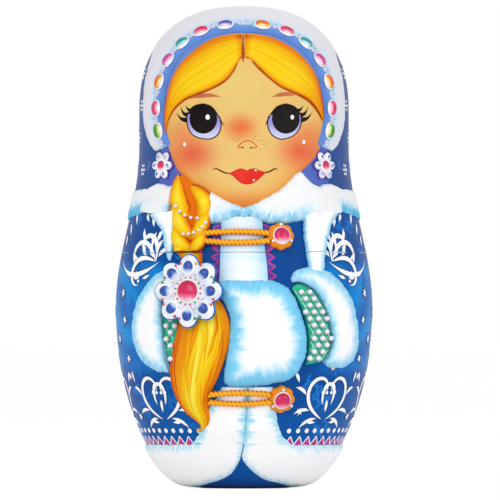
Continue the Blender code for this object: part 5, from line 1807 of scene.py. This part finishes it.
# Rows of small flowers of dots over the back and sides of the scarf.
def scarfPattern(k):
    dots, scrolls = Piece("upper", k), Piece("upper", k)
    for row, (z, count, gap) in enumerate(ornament["scarfRows"]):
        for i in range(count):
            degrees = (360 * (i + 0.5 * (row % 2)) / count + 180) % 360 - 180
            if abs(degrees) <= gap:    # the face and the headdress are there
                continue
            chart = wrappedFrom(degrees)
            polar(dots, disc(0, z, 0.6, 12), 0.1, 0.08, 2, chart)
            for turn in range(0, 360, 60):
                x, h = 1.75 * toward(turn)
                petal = [(x * 0.65, z + h * 0.65), (x * 1.35, z + h * 1.35)]
                stroke(dots, petal, 0.8, 0.1, 0.08, chart, 5, 3, (0.3, 0.2))
            for side in (-1, 1):
                curl = swirl(side * 3.4, z, 90 - side * 90, 6.5, side * 230, 1.4, 14)
                stroke(scrolls, curl, (0.4, 1.1, 0.4), 0.06, 0.06, chart, 12, 3, (0.2, 0.3))
    scrolls.build("scarfScrolls", "scarfCurl", "painted_wood")
    dots.build("scarfFlowers", "frost", "painted_wood")


print("Painting the dolls")

for k in range(5):
    for paint in (paintSkin, paintEyes, paintFeatures, innerScarf):
        paint(k)
    for word in ("left", "right"):
        hairWing(k, word)
    for dress in (hairShadows, headBand, headStones, collar, shoulderFurs, muff, cuffs):
        dress(k)
    for word in ("right", "left"):
        cuffLining(k, word)
    for dress in (hem, plait, hairTail, placket):
        dress(k)
    for word in ("upper", "lower"):
        cordPair(k, word)
        clasp(k, word)
    brooch(k)
    for word in ("left", "right"):
        earring(k, word)
    paintOrnament(k)
    scarfPattern(k)
    print("doll", k + 1)


print("Light and camera")

view = {"pixels": 500, "dollPixels": 481, "crownPixel": 7, "middlePixel": 244, "lens": 1200, "sensor": 36}
white = (1, 1, 1, 1)


# Two shaders mixed: the second is what the camera sees, itself and through clear things.
def seenMix(nodes, links, first, second, output, share=1.0):
    kinds = ("LightPath", "Math", "Math", "MixShader")
    path, either, seen, mix = (nodes.new("ShaderNode" + kind) for kind in kinds)
    either.operation, seen.operation = "MAXIMUM", "MULTIPLY"
    seen.inputs[1].default_value = share
    for source, socket in ((path.outputs["Is Camera Ray"], either.inputs[0]),
                           (path.outputs["Is Transmission Ray"], either.inputs[1]),
                           (either.outputs[0], seen.inputs[0]), (seen.outputs[0], mix.inputs["Fac"]),
                           (first.outputs[0], mix.inputs[1]), (second.outputs[0], mix.inputs[2]),
                           (mix.outputs[0], nodes[output].inputs["Surface"])):
        links.new(source, socket)


def makeFloor():
    mesh = bpy.data.meshes.new("floorSheet")
    mesh.from_pydata([(-9, -9, 0), (9, -9, 0), (9, 9, 0), (-9, 9, 0)], [], [(0, 1, 2, 3)])
    floor = bpy.data.objects.new("floorSheet", mesh)
    bpy.context.scene.collection.objects.link(floor)
    made = Finish("whiteFloor", 0.8)
    made.paint(made.ramp(made.noise(3, 2), [(0.3, (244, 244, 246)), (0.7, (250, 250, 251))]))
    glow = made.node("Emission")
    made.fix(glow, Color=white, Strength=1.05)
    seenMix(made.nodes, made.links, made.shader, glow, "Material Output", 0.85)
    mesh.materials.append(made.material)


def makeWorld():
    world = bpy.data.worlds.new("softStudio")
    bpy.context.scene.world = world
    world.use_nodes = True
    nodes = world.node_tree.nodes
    light, seen = nodes["Background"], nodes.new("ShaderNodeBackground")
    light.inputs["Color"].default_value = seen.inputs["Color"].default_value = white
    light.inputs["Strength"].default_value = 0.72
    seenMix(nodes, world.node_tree.links, light, seen, "World Output")


def areaLight(name, place, size, watts):
    data = bpy.data.lights.new(name, "AREA")
    data.size, data.energy = size, watts
    lamp = bpy.data.objects.new(name, data)
    bpy.context.scene.collection.objects.link(lamp)
    lamp.location = place
    toDoll = Vector((0, 0, form["height"] / 2)) - lamp.location
    lamp.rotation_euler = toDoll.to_track_quat("-Z", "Y").to_euler()


# Far off and level, so that the doll stands in the picture where it stands in the photograph.
def makeCamera():
    data = bpy.data.cameras.new("camera")
    camera = bpy.data.objects.new("camera", data)
    bpy.context.scene.collection.objects.link(camera)
    data.lens, data.sensor_width = view["lens"], view["sensor"]
    scale = form["height"] / view["dollPixels"]    # metres to a pixel of the photograph
    across = view["pixels"] * scale
    distance = across * view["lens"] / view["sensor"]
    middleZ = form["height"] + view["crownPixel"] * scale - across / 2
    camera.location = ((view["pixels"] / 2 - view["middlePixel"]) * scale, -distance, middleZ)
    camera.rotation_euler = (pi / 2, 0, 0)
    data.clip_end = 40
    bpy.context.scene.camera = camera


makeFloor()
makeWorld()
areaLight("frontLight", (-0.5, -1.6, 0.8), 1.2, 9)
areaLight("rightFill", (1.2, -1.0, 0.4), 1.2, 4)
areaLight("backLight", (0.2, 1.4, 1.0), 1.2, 6)
makeCamera()
bpy.context.scene.view_settings.view_transform = "Standard"
